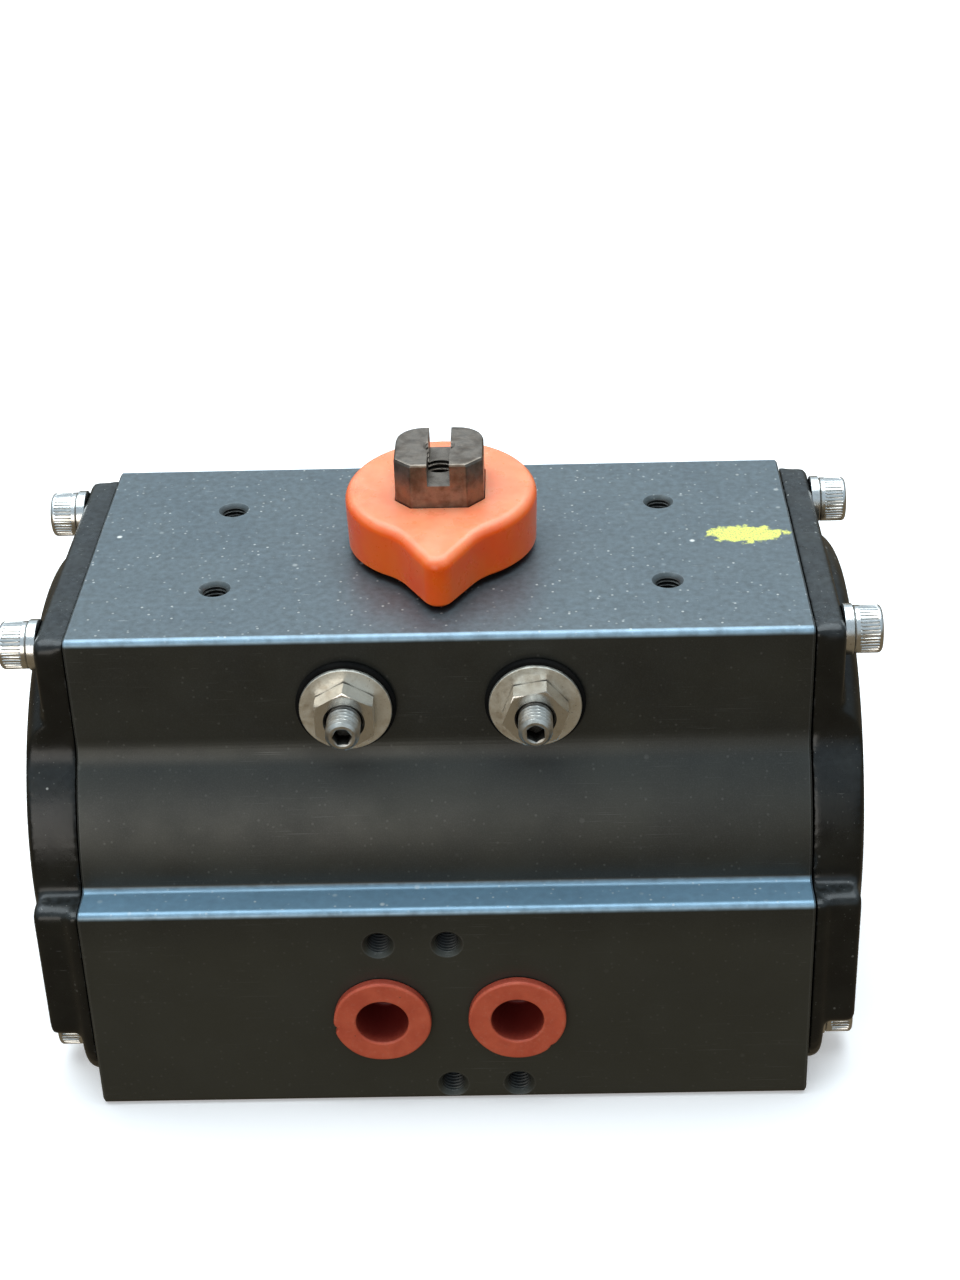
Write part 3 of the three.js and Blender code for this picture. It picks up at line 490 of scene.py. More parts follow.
# ---------------------------------------------------------------- looks
def anodised_look():
    """Dark hard-anodised extrusion: fine grain, lines along its length, dust, smudges and a paint dab, with
    painted light: highlights on the rounded edges, a bluish sky sheen on the top and the ledge, a lighter
    port pad and shade in the holes.
    """
    g = Graph("hard_anodised_extrusion")
    cloud = g.level(g.noise(14, 5), 0.35, 0.65)
    grain = g.noise(0.22, 2)
    lines = g.noise(0.35, 2, g.stretched((0.01, 1, 1)))
    height = g.height_mm()
    base = g.mix(cloud, rgb(0.028, 0.028, 0.023), rgb(0.038, 0.038, 0.030))
    # Painted fill light: the port pad below the ledge is lightened, fully below 34 mm and fading out by 44
    # mm.
    base = g.mix(g.level(height, 34, 44, 0.45, 0), base, rgb(0.075, 0.075, 0.058))
    base = g.mix(g.level(grain, 0.45, 0.75, 0, 0.4), base, rgb(0.065, 0.065, 0.058))
    base = g.mix(g.level(g.worn_edges(0.4, 0.90, 0.99), 0, 1, 0, 0.25), base, rgb(0.30, 0.31, 0.30))
    # Painted highlight: pale blue lines along the rounded top edges, the pad's top edge and the foot of the
    # barrel on the ledge, broken up by noise.
    foot_y = BARREL_CENTRE + math.sqrt(BARREL_RADIUS ** 2 - (LEDGE_Z + EDGE_ROUND - BORE_Z) ** 2)
    painted_edge_highlight = g.most(g.near_line(TOP_HALF_WIDTH, BODY_TOP, 1.3),
                    g.most(g.near_line(PAD_Y, LEDGE_Z, 1.3), g.times(g.near_line(foot_y, LEDGE_Z, 0.9), 0.7)))
    painted_edge_highlight = g.times(painted_edge_highlight, g.level(g.noise(2.2, 5), 0.3, 0.6, 0.45, 0.80))
    base = g.mix(painted_edge_highlight, base, rgb(0.36, 0.53, 0.66))
    scratch = g.most(g.scratches((0, 0, 0.5), 16, 0.12, 0.70), g.scratches((0, 0.3, -0.9), 11, 0.10, 0.71))
    base = g.mix(g.times(scratch, 0.35), base, rgb(0.30, 0.30, 0.29))
    deck = g.times(g.level(height, BODY_TOP - 1, BODY_TOP - 0.4), g.facing_up(0.35, 0.95))
    ledge = g.times(g.times(g.level(height, LEDGE_Z - 1, LEDGE_Z - 0.4), g.level(height, 45, 48, 1, 0)),
                    g.facing_up(0.5, 0.95))
    # Painted reflection: the top face and the ledge are tinted pale blue-grey in noisy patches, a painted sky
    # sheen.
    base = g.mix(g.times(deck, g.level(g.noise(1.3, 9), 0.3, 0.75, 0.13, 0.27)), base, rgb(0.38, 0.50, 0.58))
    base = g.mix(g.times(ledge, g.level(g.noise(1.6, 8), 0.3, 0.75, 0.52, 0.66)), base, rgb(0.24, 0.43, 0.58))
    # Painted shade: deep in holes and corners the colour goes near-black.
    base = g.mix(g.crevice(5, 0.25, 0.5), base, rgb(0.003, 0.003, 0.003))
    patches = g.level(g.noise(12, 3), 0.4, 0.62, 0.2, 1)
    fine = g.times(g.specks(1.3, 0.22, 0.45), 0.55)
    coarse = g.times(g.specks(5.5, 0.11, 0.5), patches)
    lint = g.times(g.scratches((0, 0, 0.8), 4, 0.22, 0.73), 0.7)
    dirt = g.times(g.most(g.most(fine, coarse), lint), g.level(g.most(deck, ledge), 0, 1, 0.10, 0.9))
    base = g.mix(dirt, base, rgb(0.78, 0.76, 0.70))
    dab = paint_dab(g)
    base = g.mix(dab, base, rgb(0.80, 0.78, 0.16))
    smudge = g.level(g.noise(9, 4), 0.3, 0.7, 0.34, 0.46)
    rough = g.math("ADD", smudge, g.times(g.most(dirt, dab), 0.3))
    relief = g.math("ADD", g.times(grain, 0.5), g.times(lines, 0.5))
    normal = g.bump(g.math("ADD", relief, g.times(dirt, 2)), 0.012)
    return g.finish(base, rough, normal, Metallic=0.35, IOR=1.6)


def paint_dab(g):
    """A short crayon-like yellow stroke on the top, with no shape of a letter."""
    offset = g.node("ShaderNodeVectorMath", operation="SUBTRACT")
    g.feed(offset.inputs[0], g.place)
    offset.inputs[1].default_value = Vector((55.0, 1.5, BODY_TOP)) * MM
    turned = g.node("ShaderNodeMapping")
    g.feed(turned.inputs["Vector"], offset.outputs[0])
    turned.inputs["Rotation"].default_value = (0, 0, math.radians(-34))
    turned.inputs["Scale"].default_value = (1 / (7.4 * MM), 1 / (3.4 * MM), 1 / (4 * MM))
    length = g.node("ShaderNodeVectorMath", operation="LENGTH")
    g.feed(length.inputs[0], turned.outputs[0])
    ragged = g.math("ADD", length.outputs["Value"], g.level(g.noise(1.6, 5), 0.2, 0.8, -0.45, 0.45))
    streaks = g.level(g.noise(0.35, 3), 0.36, 0.5)
    return g.times(g.level(ragged, 0.80, 1.0, 0.95, 0), g.level(streaks, 0, 1, 0.35, 1))


def black_coat_look():
    """Black semi-gloss coating on a casting, with dust where it faces up and lint elsewhere."""
    g = Graph("black_coated_casting")
    skin_grain = g.noise(0.9, 3)
    base = g.mix(g.level(g.noise(8, 4), 0.4, 0.7), rgb(0.008, 0.008, 0.007), rgb(0.015, 0.015, 0.012))
    base = g.mix(g.times(g.worn_edges(0.6, 0.88, 0.98), g.level(g.noise(2.5, 4), 0.55, 0.62, 0, 0.5)),
                 base, rgb(0.16, 0.16, 0.16))
    film = g.times(g.facing_up(0.4, 0.95), g.level(g.noise(1.1, 8), 0.35, 0.7, 0.0, 0.05))
    base = g.mix(film, base, rgb(0.42, 0.49, 0.53))
    dots = g.most(g.times(g.specks(0.9, 0.17, 0.4), 0.4), g.specks(3.2, 0.09, 0.5))
    lint = g.times(g.scratches((0, 0.4, 0.8), 4, 0.25, 0.72), 0.6)
    dirt = g.times(g.most(dots, lint), g.level(g.facing_up(), 0, 1, 0.25, 0.8))
    base = g.mix(dirt, base, rgb(0.72, 0.70, 0.64))
    rough = g.math("ADD", g.level(g.noise(5, 4), 0.3, 0.7, 0.22, 0.34), g.times(g.most(film, dirt), 0.4))
    normal = g.bump(g.noise(0.25, 2), 0.006, g.bump(skin_grain, 0.02))
    return g.finish(base, rough, normal, IOR=1.45)


def steel_look(name, tone, blotch_tone, rough_low, rough_high, blotch_low=0.5, crevice_shade_high=0.38):
    """Bare or plated steel with turning marks, faint stains, dark specks, and painted shade that turns its
    sockets and hollows near-black, where it is also rougher.
    """
    g = Graph(name)
    stain = g.level(g.noise(2.6, 6), blotch_low, blotch_low + 0.22, 0, 0.8)
    base = g.mix(stain, tone, blotch_tone)
    base = g.mix(g.level(g.noise(0.3, 3), 0.55, 0.75, 0, 0.35), base, blotch_tone)
    base = g.mix(g.specks(0.8, 0.14, 0.25), base, rgb(0.12, 0.10, 0.08))
    # Painted shade: near-black deep in sockets, holes and where parts meet; the same mask makes the surface
    # rougher there.
    painted_crevice_shade = g.crevice(5, 0.18, crevice_shade_high)
    base = g.mix(painted_crevice_shade, base, rgb(0.012, 0.010, 0.008))
    rough = g.level(g.noise(1.2, 5), 0.3, 0.7, rough_low, rough_high)
    rough = g.math("ADD", rough, g.times(painted_crevice_shade, 0.5))
    marks = g.noise(0.09, 2, g.stretched((0.5, 0.12, 0.5)))
    normal = g.bump(g.noise(0.5, 4), 0.012, g.bump(marks, 0.004))
    return g.finish(base, rough, normal, Metallic=1.0)


def orange_look():
    """Glossy, slightly see-through orange moulding with faint flow marks and dust, and a painted pale sheen
    on its upward faces.
    """
    g = Graph("orange_moulding")
    flow = g.level(g.noise(9, 4), 0.35, 0.7)
    base = g.mix(flow, rgb(0.98, 0.095, 0.004), rgb(1.0, 0.150, 0.008))
    # Painted sheen: upward faces are lightened to pale peach in noisy patches.
    base = g.mix(g.times(g.facing_up(), g.level(g.noise(4, 6), 0.4, 0.75, 0.40, 0.62)), base,
                 rgb(0.98, 0.46, 0.27))
    dirt = g.times(g.specks(1.6, 0.11, 0.3), g.level(g.facing_up(), 0, 1, 0.2, 0.7))
    base = g.mix(dirt, base, rgb(0.90, 0.72, 0.58))
    base = g.mix(g.specks(3.4, 0.05, 0.3), base, rgb(0.25, 0.10, 0.05))
    rough = g.level(g.noise(3, 5), 0.3, 0.7, 0.24, 0.36)
    normal = g.bump(g.noise(0.4, 3), 0.006, g.bump(g.noise(6, 2), 0.06))
    return g.finish(base, rough, normal, IOR=1.5, Subsurface_Weight=0.25, Subsurface_Scale=0.003)


def plug_look():
    """Soft matt red-orange plug, a little faded and scuffed, with painted shade deep in its hollow."""
    g = Graph("soft_red_plug")
    base = g.mix(g.level(g.noise(3.5, 5), 0.35, 0.7), rgb(0.60, 0.095, 0.045), rgb(0.72, 0.135, 0.065))
    base = g.mix(g.level(g.noise(0.6, 5), 0.55, 0.8, 0, 0.35), base, rgb(0.72, 0.27, 0.17))
    base = g.mix(g.times(g.worn_edges(0.5, 0.85, 0.98), 0.25), base, rgb(0.80, 0.36, 0.24))
    base = g.mix(g.specks(2.2, 0.07, 0.3), base, rgb(0.20, 0.08, 0.05))
    # Painted shade: the plug's hollow goes dark red-brown towards its inside.
    base = g.mix(g.crevice(12, 0.3, 0.8), base, rgb(0.20, 0.014, 0.009))
    rough = g.level(g.noise(1.5, 4), 0.3, 0.7, 0.46, 0.62)
    normal = g.bump(g.noise(0.35, 3), 0.02, g.bump(g.noise(4, 3), 0.12))
    return g.finish(base, rough, normal, Subsurface_Weight=0.08, Subsurface_Scale=0.002)


def plain_look(name, dark, light, rough, metallic=0.0, grain_mm=0.6, ior=1.5):
    """Cast, moulded or rubber surface of the inner pieces: two close tones, grain and fine pits."""
    g = Graph(name)
    base = g.mix(g.level(g.noise(5, 5), 0.35, 0.7), dark, light)
    base = g.mix(g.times(g.specks(1.2, 0.12, 0.3), 0.5), base, dark)
    roughness = g.level(g.noise(2, 4), 0.3, 0.7, rough - 0.06, rough + 0.08)
    normal = g.bump(g.noise(grain_mm, 4), 0.02)
    return g.finish(base, roughness, normal, Metallic=metallic, IOR=ior)


ANODISED = anodised_look()
BLACK_COAT = black_coat_look()
STAINLESS = steel_look("bright_stainless", rgb(0.80, 0.79, 0.76), rgb(0.55, 0.51, 0.44), 0.17, 0.27, 0.56)
STAINED_STEEL = steel_look(
    "stained_washer_steel", rgb(0.84, 0.80, 0.70), rgb(0.45, 0.36, 0.25), 0.36, 0.52, 0.54)
SCREW_STEEL = steel_look(
    "stop_screw_steel", rgb(0.62, 0.60, 0.55), rgb(0.30, 0.26, 0.20), 0.30, 0.44, 0.50, 0.62)
NICKEL = steel_look("worn_nickel", rgb(0.24, 0.20, 0.165), rgb(0.10, 0.073, 0.053), 0.28, 0.48, 0.44)
ORANGE = orange_look()
RED_PLUG = plug_look()
RUBBER = plain_look("black_rubber", rgb(0.004, 0.004, 0.004), rgb(0.010, 0.009, 0.008), 0.85, ior=1.2)
BEARING = plain_look("bearing_plastic", rgb(0.66, 0.62, 0.52), rgb(0.76, 0.72, 0.62), 0.45)
CAST = plain_look("cast_aluminium", rgb(0.44, 0.45, 0.46), rgb(0.58, 0.59, 0.60), 0.38, 0.9, 0.35)

SLOT_LOOKS = {
    "hard_anodised_aluminium": ANODISED, "black_coating": BLACK_COAT, "stainless_steel": STAINLESS,
    "nickel_plated_steel": NICKEL, "cast_aluminium": CAST, "black_rubber": RUBBER,
    "bearing_plastic": BEARING, "orange_plastic": ORANGE, "red_orange_plastic": RED_PLUG,
}


# ---------------------------------------------------------------- finished pieces
def smooth(obj, crease_degrees):
    for face in obj.data.polygons:
        face.use_smooth = True
    obj.data.set_sharp_from_angle(angle=math.radians(crease_degrees))
    weighted = obj.modifiers.new("flat_faces_stay_flat", "WEIGHTED_NORMAL")
    weighted.keep_sharp = True


def finish_piece(obj, node, body, look, crease=28):
    """The finished piece takes the place of a CAD node and moves with its body."""
    obj.name = f"{node}_fine"
    obj.data.name = obj.name
    obj.data.materials.clear()
    obj.data.materials.append(look)
    smooth(obj, crease)
    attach(obj, body)
    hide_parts(node)
    return obj


# ---------------------------------------------------------------- body
def screw_places():
    """Each cap screw's node ending, side, washer face and axis."""
    places = []
    for end, side in (("right", 1), ("left", -1)):
        for level, seat in (("upper", UPPER_SEAT_X), ("lower", LOWER_SEAT_X)):
            for depth in ("front", "rear"):
                name = f"{end}_{level}_{depth}"
                low, high = span(f"cap_washer_{name}")
                middle = (low + high) / 2
                places.append((name, side, seat, middle.y, middle.z))
    return places


def face_groove(inner, outer, deep, place, around):
    """The tool for a seal groove, round in outline and square in section, in a flat face."""
    profile = [(inner, -deep), (outer, -deep), (outer, POKE), (inner, POKE)]
    return lathe(profile, place, around, loop=True)


def body_cuts():
    deck_x, deck_y = TOP_HOLES
    corners = [(sx * deck_x, sy * deck_y) for sx in (1, -1) for sy in (1, -1)]
    tools = [tapped(**M5_HOLE, place=at(x, y, BODY_TOP)) for x, y in corners]
    for x, rise in ((-PORT_X, PAD_ROW), (0, PAD_ROW), (0, -PAD_ROW), (PORT_X, -PAD_ROW)):
        tools.append(tapped(**M5_HOLE, place=at(x, -PAD_Y, PORT_Z + rise, TO_FRONT)))
    for x in (-PORT_X, PORT_X):
        tools.append(tapped(**PORT_HOLE, place=at(x, -PAD_Y, PORT_Z, TO_FRONT), sink=0.9))
    below = Matrix.Rotation(math.pi, 4, "X")
    for circle, hole in FLANGE_HOLES:
        for i in range(4):
            angle = math.pi / 4 + i * QUARTER
            x, y = circle * math.cos(angle), circle * math.sin(angle)
            tools.append(tapped(**hole, place=at(x, y, 0, below)))
    for side in (1, -1):
        outward = ALONG_X if side > 0 else Matrix.Rotation(math.pi, 4, "Z") @ ALONG_X
        bore = at(side * FACE_X, 0, BORE_Z, outward)
        air_line = at(side * FACE_X, AIR_LINE["y"], AIR_LINE["z"], outward)
        tools.append(straight_hole(BORE_RADIUS, -FACE_X - 0.01, POKE, bore, 0.4))
        tools.append(face_groove(**CAP_GROOVE, place=bore, around=96))
        tools.append(straight_hole(AIR_LINE["radius"], -AIR_LINE["deep"], POKE, air_line, 0, 24))
        tools.append(face_groove(**AIR_LINE_GROOVE, place=air_line, around=32))
    for _, side, _, y, z in screw_places():
        outward = ALONG_X if side > 0 else Matrix.Rotation(math.pi, 4, "Z") @ ALONG_X
        place = at(side * FACE_X, y, z, outward)
        tools.append(straight_hole(SCREW["shank"] + 0.3, -SCREW_HOLE_DEEP, POKE, place, 0.3, 24))
    return tools


def body_hollows():
    """The cam pocket, the shaft's holes, the centring recess and the two stop holes."""
    below = Matrix.Rotation(math.pi, 4, "X")
    tools = [
        lathe([(23, CAM_LOW.z - 12), (23, CAM_HIGH.z + 0.8)], UPRIGHT, 64),
        straight_hole(11.8, -12, POKE, at(0, 0, BODY_TOP), 0.4),
        straight_hole(14.5, -BORE_Z, POKE, UPRIGHT @ below, 0.0),
        straight_hole(17.6, -3, POKE, below, 0.3),
    ]
    for x in (-STOP_X, STOP_X):
        tools.append(straight_hole(STOP_RADIUS + 0.3, -TOP_HALF_WIDTH + 5, POKE,
                                   at(x, -TOP_HALF_WIDTH, STOP_Z, TO_FRONT), 0.4, 40))
        tools.append(straight_hole(SPOT_FACE, 0, 10, at(x, -TOP_HALF_WIDTH, STOP_Z, TO_FRONT)))
    return tools


def make_body():
    chamfer = 0.35
    full, small = body_section(0), body_section(chamfer)
    solid_body = stack([(small, -FACE_X), (full, -FACE_X + chamfer), (full, FACE_X - chamfer),
                        (small, FACE_X)],
                       ALONG_X)
    cut(solid_body, body_hollows())
    cut(solid_body, body_cuts())
    return finish_piece(solid_body, "body", "housing", ANODISED)


# ---------------------------------------------------------------- end caps
def cap_lug(y, z, outer_x):
    """A raised block on the cap, with rounded corners and a rounded outer rim."""
    corner, soft = 2.2, 1.2
    layers = []
    for angle in [i * QUARTER / 4 for i in range(5)]:
        inset = soft * (1 - math.cos(angle))
        corners = [(y[1], z[1]), (y[0], z[1]), (y[0], z[0]), (y[1], z[0])]
        shrunk = [(py - math.copysign(inset, py - sum(y) / 2), pz - math.copysign(inset, pz - sum(z) / 2),
                   corner - inset) for py, pz in corners]
        layers.append((rounded(shrunk), outer_x - soft + soft * math.sin(angle)))
    return stack([(layers[0][0], FACE_X + 1)] + layers, ALONG_X)


def make_cap():
    """The right-hand cap as a casting, softened all over and then machined where it takes screws."""
    inner = FACE_X + SLIP
    section = body_section(CAP_INSET, CAP_BOTTOM_ROUND)
    dome = arc(BOSS_RADIUS - BOSS_ROUND, BOSS_X - BOSS_ROUND, BOSS_ROUND, 0, QUARTER, 10)
    boss = lathe([(BOSS_RADIUS, inner)] + dome, at(0, 0, BOSS_Z, ALONG_X), 128)
    upper = TOP_HALF_WIDTH - CAP_INSET
    side = PAD_Y - 2.4
    raised = [cap_lug((-upper, upper), (UPPER_BLOCK_BOTTOM, BODY_TOP - CAP_INSET), UPPER_SEAT_X)]
    lug_z = (SIDE_LUG_BOTTOM, LEDGE_Z - CAP_INSET)
    raised += [cap_lug(y, lug_z, BOSS_X - 1) for y in ((28, side), (-side, -28))]
    join(boss, raised)
    combine(boss, [prism(section, inner, BOSS_X + POKE, ALONG_X)], "INTERSECT")
    flange = [(section, inner)]
    for angle in [i * QUARTER / 4 for i in range(5)]:
        inset = FLANGE_SOFT * (1 - math.cos(angle))
        outline = body_section(CAP_INSET + inset, CAP_BOTTOM_ROUND - inset)
        flange.append((outline, FACE_X + FLANGE_THICK - FLANGE_SOFT + FLANGE_SOFT * math.sin(angle)))
    cap = join(stack(flange, ALONG_X), [boss])
    remesh = cap.modifiers.new("casting", "REMESH")
    remesh.mode = "VOXEL"
    remesh.voxel_size = 0.6 * MM
    soften = cap.modifiers.new("cast_rounds", "SMOOTH")
    soften.factor = 0.5
    soften.iterations = 5
    apply_modifiers(cap)
    tools = [
        block((FACE_X - 5, inner + 0.3), (-60, 60), (-5, 95)),
        straight_hole(27, -20, 5 - SLIP, at(FACE_X, 0, BORE_Z, ALONG_X), 0, 96),
        straight_hole(2, -20, 5 - SLIP, at(FACE_X, -38.5, 29.5, ALONG_X), 0, 24),
    ]
    for _, end, seat, y, z in screw_places():
        if end > 0:
            tools.append(straight_hole(SCREW["shank"] + 0.5, -30, 30, at(FACE_X, y, z, ALONG_X), 0, 32))
            tools.append(straight_hole(WASHER["outer"] + 0.9, 0, 30, at(seat, y, z, ALONG_X), 0, 64))
    return cut(cap, tools)


def make_caps():
    right = make_cap()
    left = mirror_copy(right)
    for obj, node in ((right, "end_cap_right"), (left, "end_cap_left")):
        finish_piece(obj, node, "housing", BLACK_COAT, 34)


# ---------------------------------------------------------------- screws, washers and nuts
def ring_piece(inner, outer, thick, place, soft=0.15, around=64):
    """A flat ring from local z = 0 up, with softened edges."""
    corners = [(inner, 0, soft), (outer, 0, soft), (outer, thick, soft), (inner, thick, soft)]
    return lathe(rounded(corners, 3), place, around, loop=True)


def knurled_head_ring(radius, groove, around=KNURLS * 4):
    """One ring of a screw head: straight knurling is a row of narrow grooves round it."""
    points = []
    for i in range(around):
        angle = 2 * math.pi * i / around
        reach = radius - (groove if i % 4 == 2 else 0)
        points.append((reach * math.cos(angle), reach * math.sin(angle)))
    return points


def cap_screw(place):
    """Socket-head screw with its bearing face at local z = 0."""
    shank, head, high = SCREW["shank"], SCREW["head"], SCREW["high"]
    heights = [(shank - 0.4, -SCREW["long"], 0), (shank, -SCREW["long"] + 0.4, 0), (shank, 0, 0),
               (head - 0.3, 0, 0), (head, 0.3, 0), (head, 0.95, 0), (head, 1.25, KNURL_DEEP),
               (head, high - 1.05, KNURL_DEEP), (head, high - 0.75, 0.02)]
    rim = [(head - 0.7 + r, high - 0.7 + h, 0) for r, h in arc(0, 0, 0.7, 0, QUARTER, 5)]
    layers = [(knurled_head_ring(radius, groove), height) for radius, height, groove in heights + rim]
    screw = stack(layers, place)
    floor = high - SCREW["socket_deep"]
    socket = prism(polygon(6, SCREW["socket"]), floor, high + POKE, place)
    point = lathe([(0.1, floor - 0.9), (1.95, floor + 0.02)], place, 24)
    mouth = lathe([(SCREW["socket"] / 2, high - 0.25), (SCREW["socket"] / 2 + 0.45, high + 0.1)], place, 48)
    return cut(screw, [socket, point, mouth])


def make_cap_screws():
    spin = random.Random(7)
    for name, side, seat, y, z in screw_places():
        outward = ALONG_X if side > 0 else Matrix.Rotation(math.pi, 4, "Z") @ ALONG_X
        washer = ring_piece(**WASHER, place=at(side * (seat + 0.05), y, z, outward))
        finish_piece(washer, f"cap_washer_{name}", "housing", STAINLESS)
        turn = Matrix.Rotation(spin.uniform(0, math.pi), 4, "Z")
        screw = cap_screw(at(side * (seat + WASHER["thick"] + 0.1), y, z, outward) @ turn)
        finish_piece(screw, f"cap_screw_{name}", "housing", STAINLESS, 24)


def threaded_rod(radius, pitch, low, high, place, around=48, soft=0.7):
    """A rod whose radius follows a V thread that winds round it, with its ends chamfered."""
    groove = 0.6 * pitch
    per_turn = 14
    count = int((high - low) / pitch * per_turn)
    rings = []
    for level in range(count + 1):
        z = low + (high - low) * level / count
        limit = radius - soft + min(soft, z - low, high - z)
        ring = []
        for i in range(around):
            turn = i / around
            phase = (z / pitch + turn) % 1
            depth = groove * max(0.0, 1 - abs(phase - 0.5) / 0.42)
            reach = min(limit, radius - depth)
            ring.append((reach * math.cos(2 * math.pi * turn), reach * math.sin(2 * math.pi * turn), z))
        rings.append(ring)
    return solid(*skin(rings), place)


def make_stop(name, side, nut_turn):
    """One travel stop: screw, rubber ring, washer and lock nut on the port side."""
    x = side * STOP_X
    screw_low, screw_high = span(f"stop_screw_{name}")
    place = at(x, 0, STOP_Z, TO_FRONT)
    tip, out = -screw_high.y, -screw_low.y
    screw = threaded_rod(STOP_RADIUS, STOP_PITCH, tip, out, place)
    spin = Matrix.Rotation(0.3 + side * 0.25, 4, "Z")
    socket = prism(polygon(6, STOP_SOCKET), out - STOP_SOCKET, out + POKE, place @ spin)
    mouth = lathe([(1.5, out - 0.2), (2.0, out + 0.1)], place, 40)
    cut(screw, [socket, mouth])
    finish_piece(screw, f"stop_screw_{name}", f"stop_screw_{name}", SCREW_STEEL, 20)
    low, high = span(f"stop_seal_{name}")
    seal = ring_piece(3.4, (high.x - low.x) / 2, high.y - low.y, at(x, high.y, STOP_Z, TO_FRONT), 0.45)
    finish_piece(seal, f"stop_seal_{name}", "housing", RUBBER)
    low, high = span(f"stop_washer_{name}")
    washer = ring_piece(3.3, (high.x - low.x) / 2, high.y - low.y, at(x, high.y, STOP_Z, TO_FRONT), 0.2, 96)
    finish_piece(washer, f"stop_washer_{name}", "housing", STAINED_STEEL)
    nut_low, nut_high = span(f"stop_nut_{name}")
    thick = nut_high.y - nut_low.y
    corner = NUT_FLATS / 2 / math.cos(math.pi / 6)
    nut_place = at(x, nut_high.y, STOP_Z, TO_FRONT)
    nut = prism(polygon(6, NUT_FLATS, nut_turn), 0, thick, nut_place)
    slope = 0.55
    round_off = lathe([(corner - 0.75, -0.01), (corner + 0.6, slope), (corner + 0.6, thick - slope),
                       (corner - 0.75, thick + 0.01)], nut_place, 96)
    combine(nut, [round_off], "INTERSECT")
    bore = lathe([(3.6, -POKE), (3.6, -0.01), (3.15, 0.45), (3.15, thick - 0.45), (3.6, thick + 0.01),
                  (3.6, thick + POKE)], nut_place, 48)
    cut(nut, [bore])
    finish_piece(nut, f"stop_nut_{name}", "housing", STAINLESS)


# ---------------------------------------------------------------- pinion and indicator
def head_outline(inset):
    """Top of the shaft: square, with flat-cut front corners and turned rear corners."""
    half = HEAD_HALF - inset
    front = half - HEAD_CHAMFER + inset * 0.4
    turned = 5.0 - inset
    return rounded([(-half, -front, 0.5), (-front, -half, 0.5), (front, -half, 0.5), (half, -front, 0.5),
                    (half, half, turned), (-half, half, turned)], 6)


def gear_outline():
    """Sixteen involute teeth, the same as in the CAD part, with finer flanks."""
    teeth, module = 16, 1.5
    pitch_radius = teeth * module / 2
    base = pitch_radius * math.cos(math.radians(20))

    def involute(radius):
        angle = math.acos(min(1, base / radius))
        return math.tan(angle) - angle

    offset = (math.pi * module / 4 - 0.05) / pitch_radius + involute(pitch_radius)
    tip = pitch_radius + module
    flank = [(pitch_radius - 1.1 * module, offset + 0.02)]
    flank += [(base + (tip - base) * i / 6, offset - involute(base + (tip - base) * i / 6)) for i in range(7)]
    points = []
    for tooth in range(teeth):
        middle = QUARTER + tooth * 2 * math.pi / teeth
        polar = [(r, middle - half) for r, half in flank]
        polar += [(r, middle + half) for r, half in reversed(flank)]
        points += [(r * math.cos(a), r * math.sin(a)) for r, a in polar]
    return points


def make_pinion():
    top = PINION_HIGH.z
    seal, clip = BODY_TOP - 3.5, BODY_TOP + 1.6
    waist = 10
    shaft = lathe([
        (11.4, PINION_LOW.z), (12, PINION_LOW.z + 0.6), (12, 3.7), (11.1, 3.7), (11.1, 6.5), (12, 6.5),
        (12, 27),
        (waist, 27), (waist, CAM_LOW.z), (9.5, CAM_LOW.z), (9.5, seal), (8.5, seal), (8.5, seal + 2.7),
        (9.5, seal + 2.7), (9.5, clip), (8.7, clip), (8.7, HEAD_BOTTOM), (5, HEAD_BOTTOM),
        (5, HEAD_BOTTOM + 1),
    ], UPRIGHT, 96)
    seat = prism(polygon(8, CAM_SEAT_FLATS, math.pi / 8), CAM_LOW.z - 0.5, CAM_HIGH.z + 0.3)
    gear = prism(gear_outline(), *GEAR_Z)
    rim = 0.55
    head = stack([(head_outline(0.3), HEAD_BOTTOM - 0.02), (head_outline(0), HEAD_BOTTOM + 0.4),
                  (head_outline(0), top - rim), (head_outline(rim * 0.35), top - rim * 0.3),
                  (head_outline(rim), top)])
    join(shaft, [seat, gear, head])
    floor = top - SLOT_DEEP
    slot = block((-SLOT_HALF, SLOT_HALF), (-HEAD_HALF - POKE, HEAD_HALF + POKE), (floor, top + POKE))
    thread = tapped(HEAD_THREAD["radius"], HEAD_THREAD["pitch"], SLOT_DEEP + HEAD_THREAD["deep"],
                    at(0, 0, top), 0.1)
    sockets = [prism(polygon(4, DRIVE["square"], turn), PINION_LOW.z - POKE, DRIVE["deep"])
               for turn in (0, math.pi / 4)]
    cut(shaft, [slot, thread] + sockets)
    return finish_piece(shaft, "pinion", "pinion_shaft", NICKEL)


def bend(start, corner, end, steps=7):
    """Points of a smooth bend that starts at one point, heads for the corner and finishes at the other."""
    points = []
    for i in range(1, steps + 1):
        t = i / steps
        weights = ((1 - t) ** 2, 2 * t * (1 - t), t ** 2)
        pulls = list(zip(weights, (start, corner, end)))
        points.append(tuple(sum(weight * point[axis] for weight, point in pulls) for axis in (0, 1)))
    return points


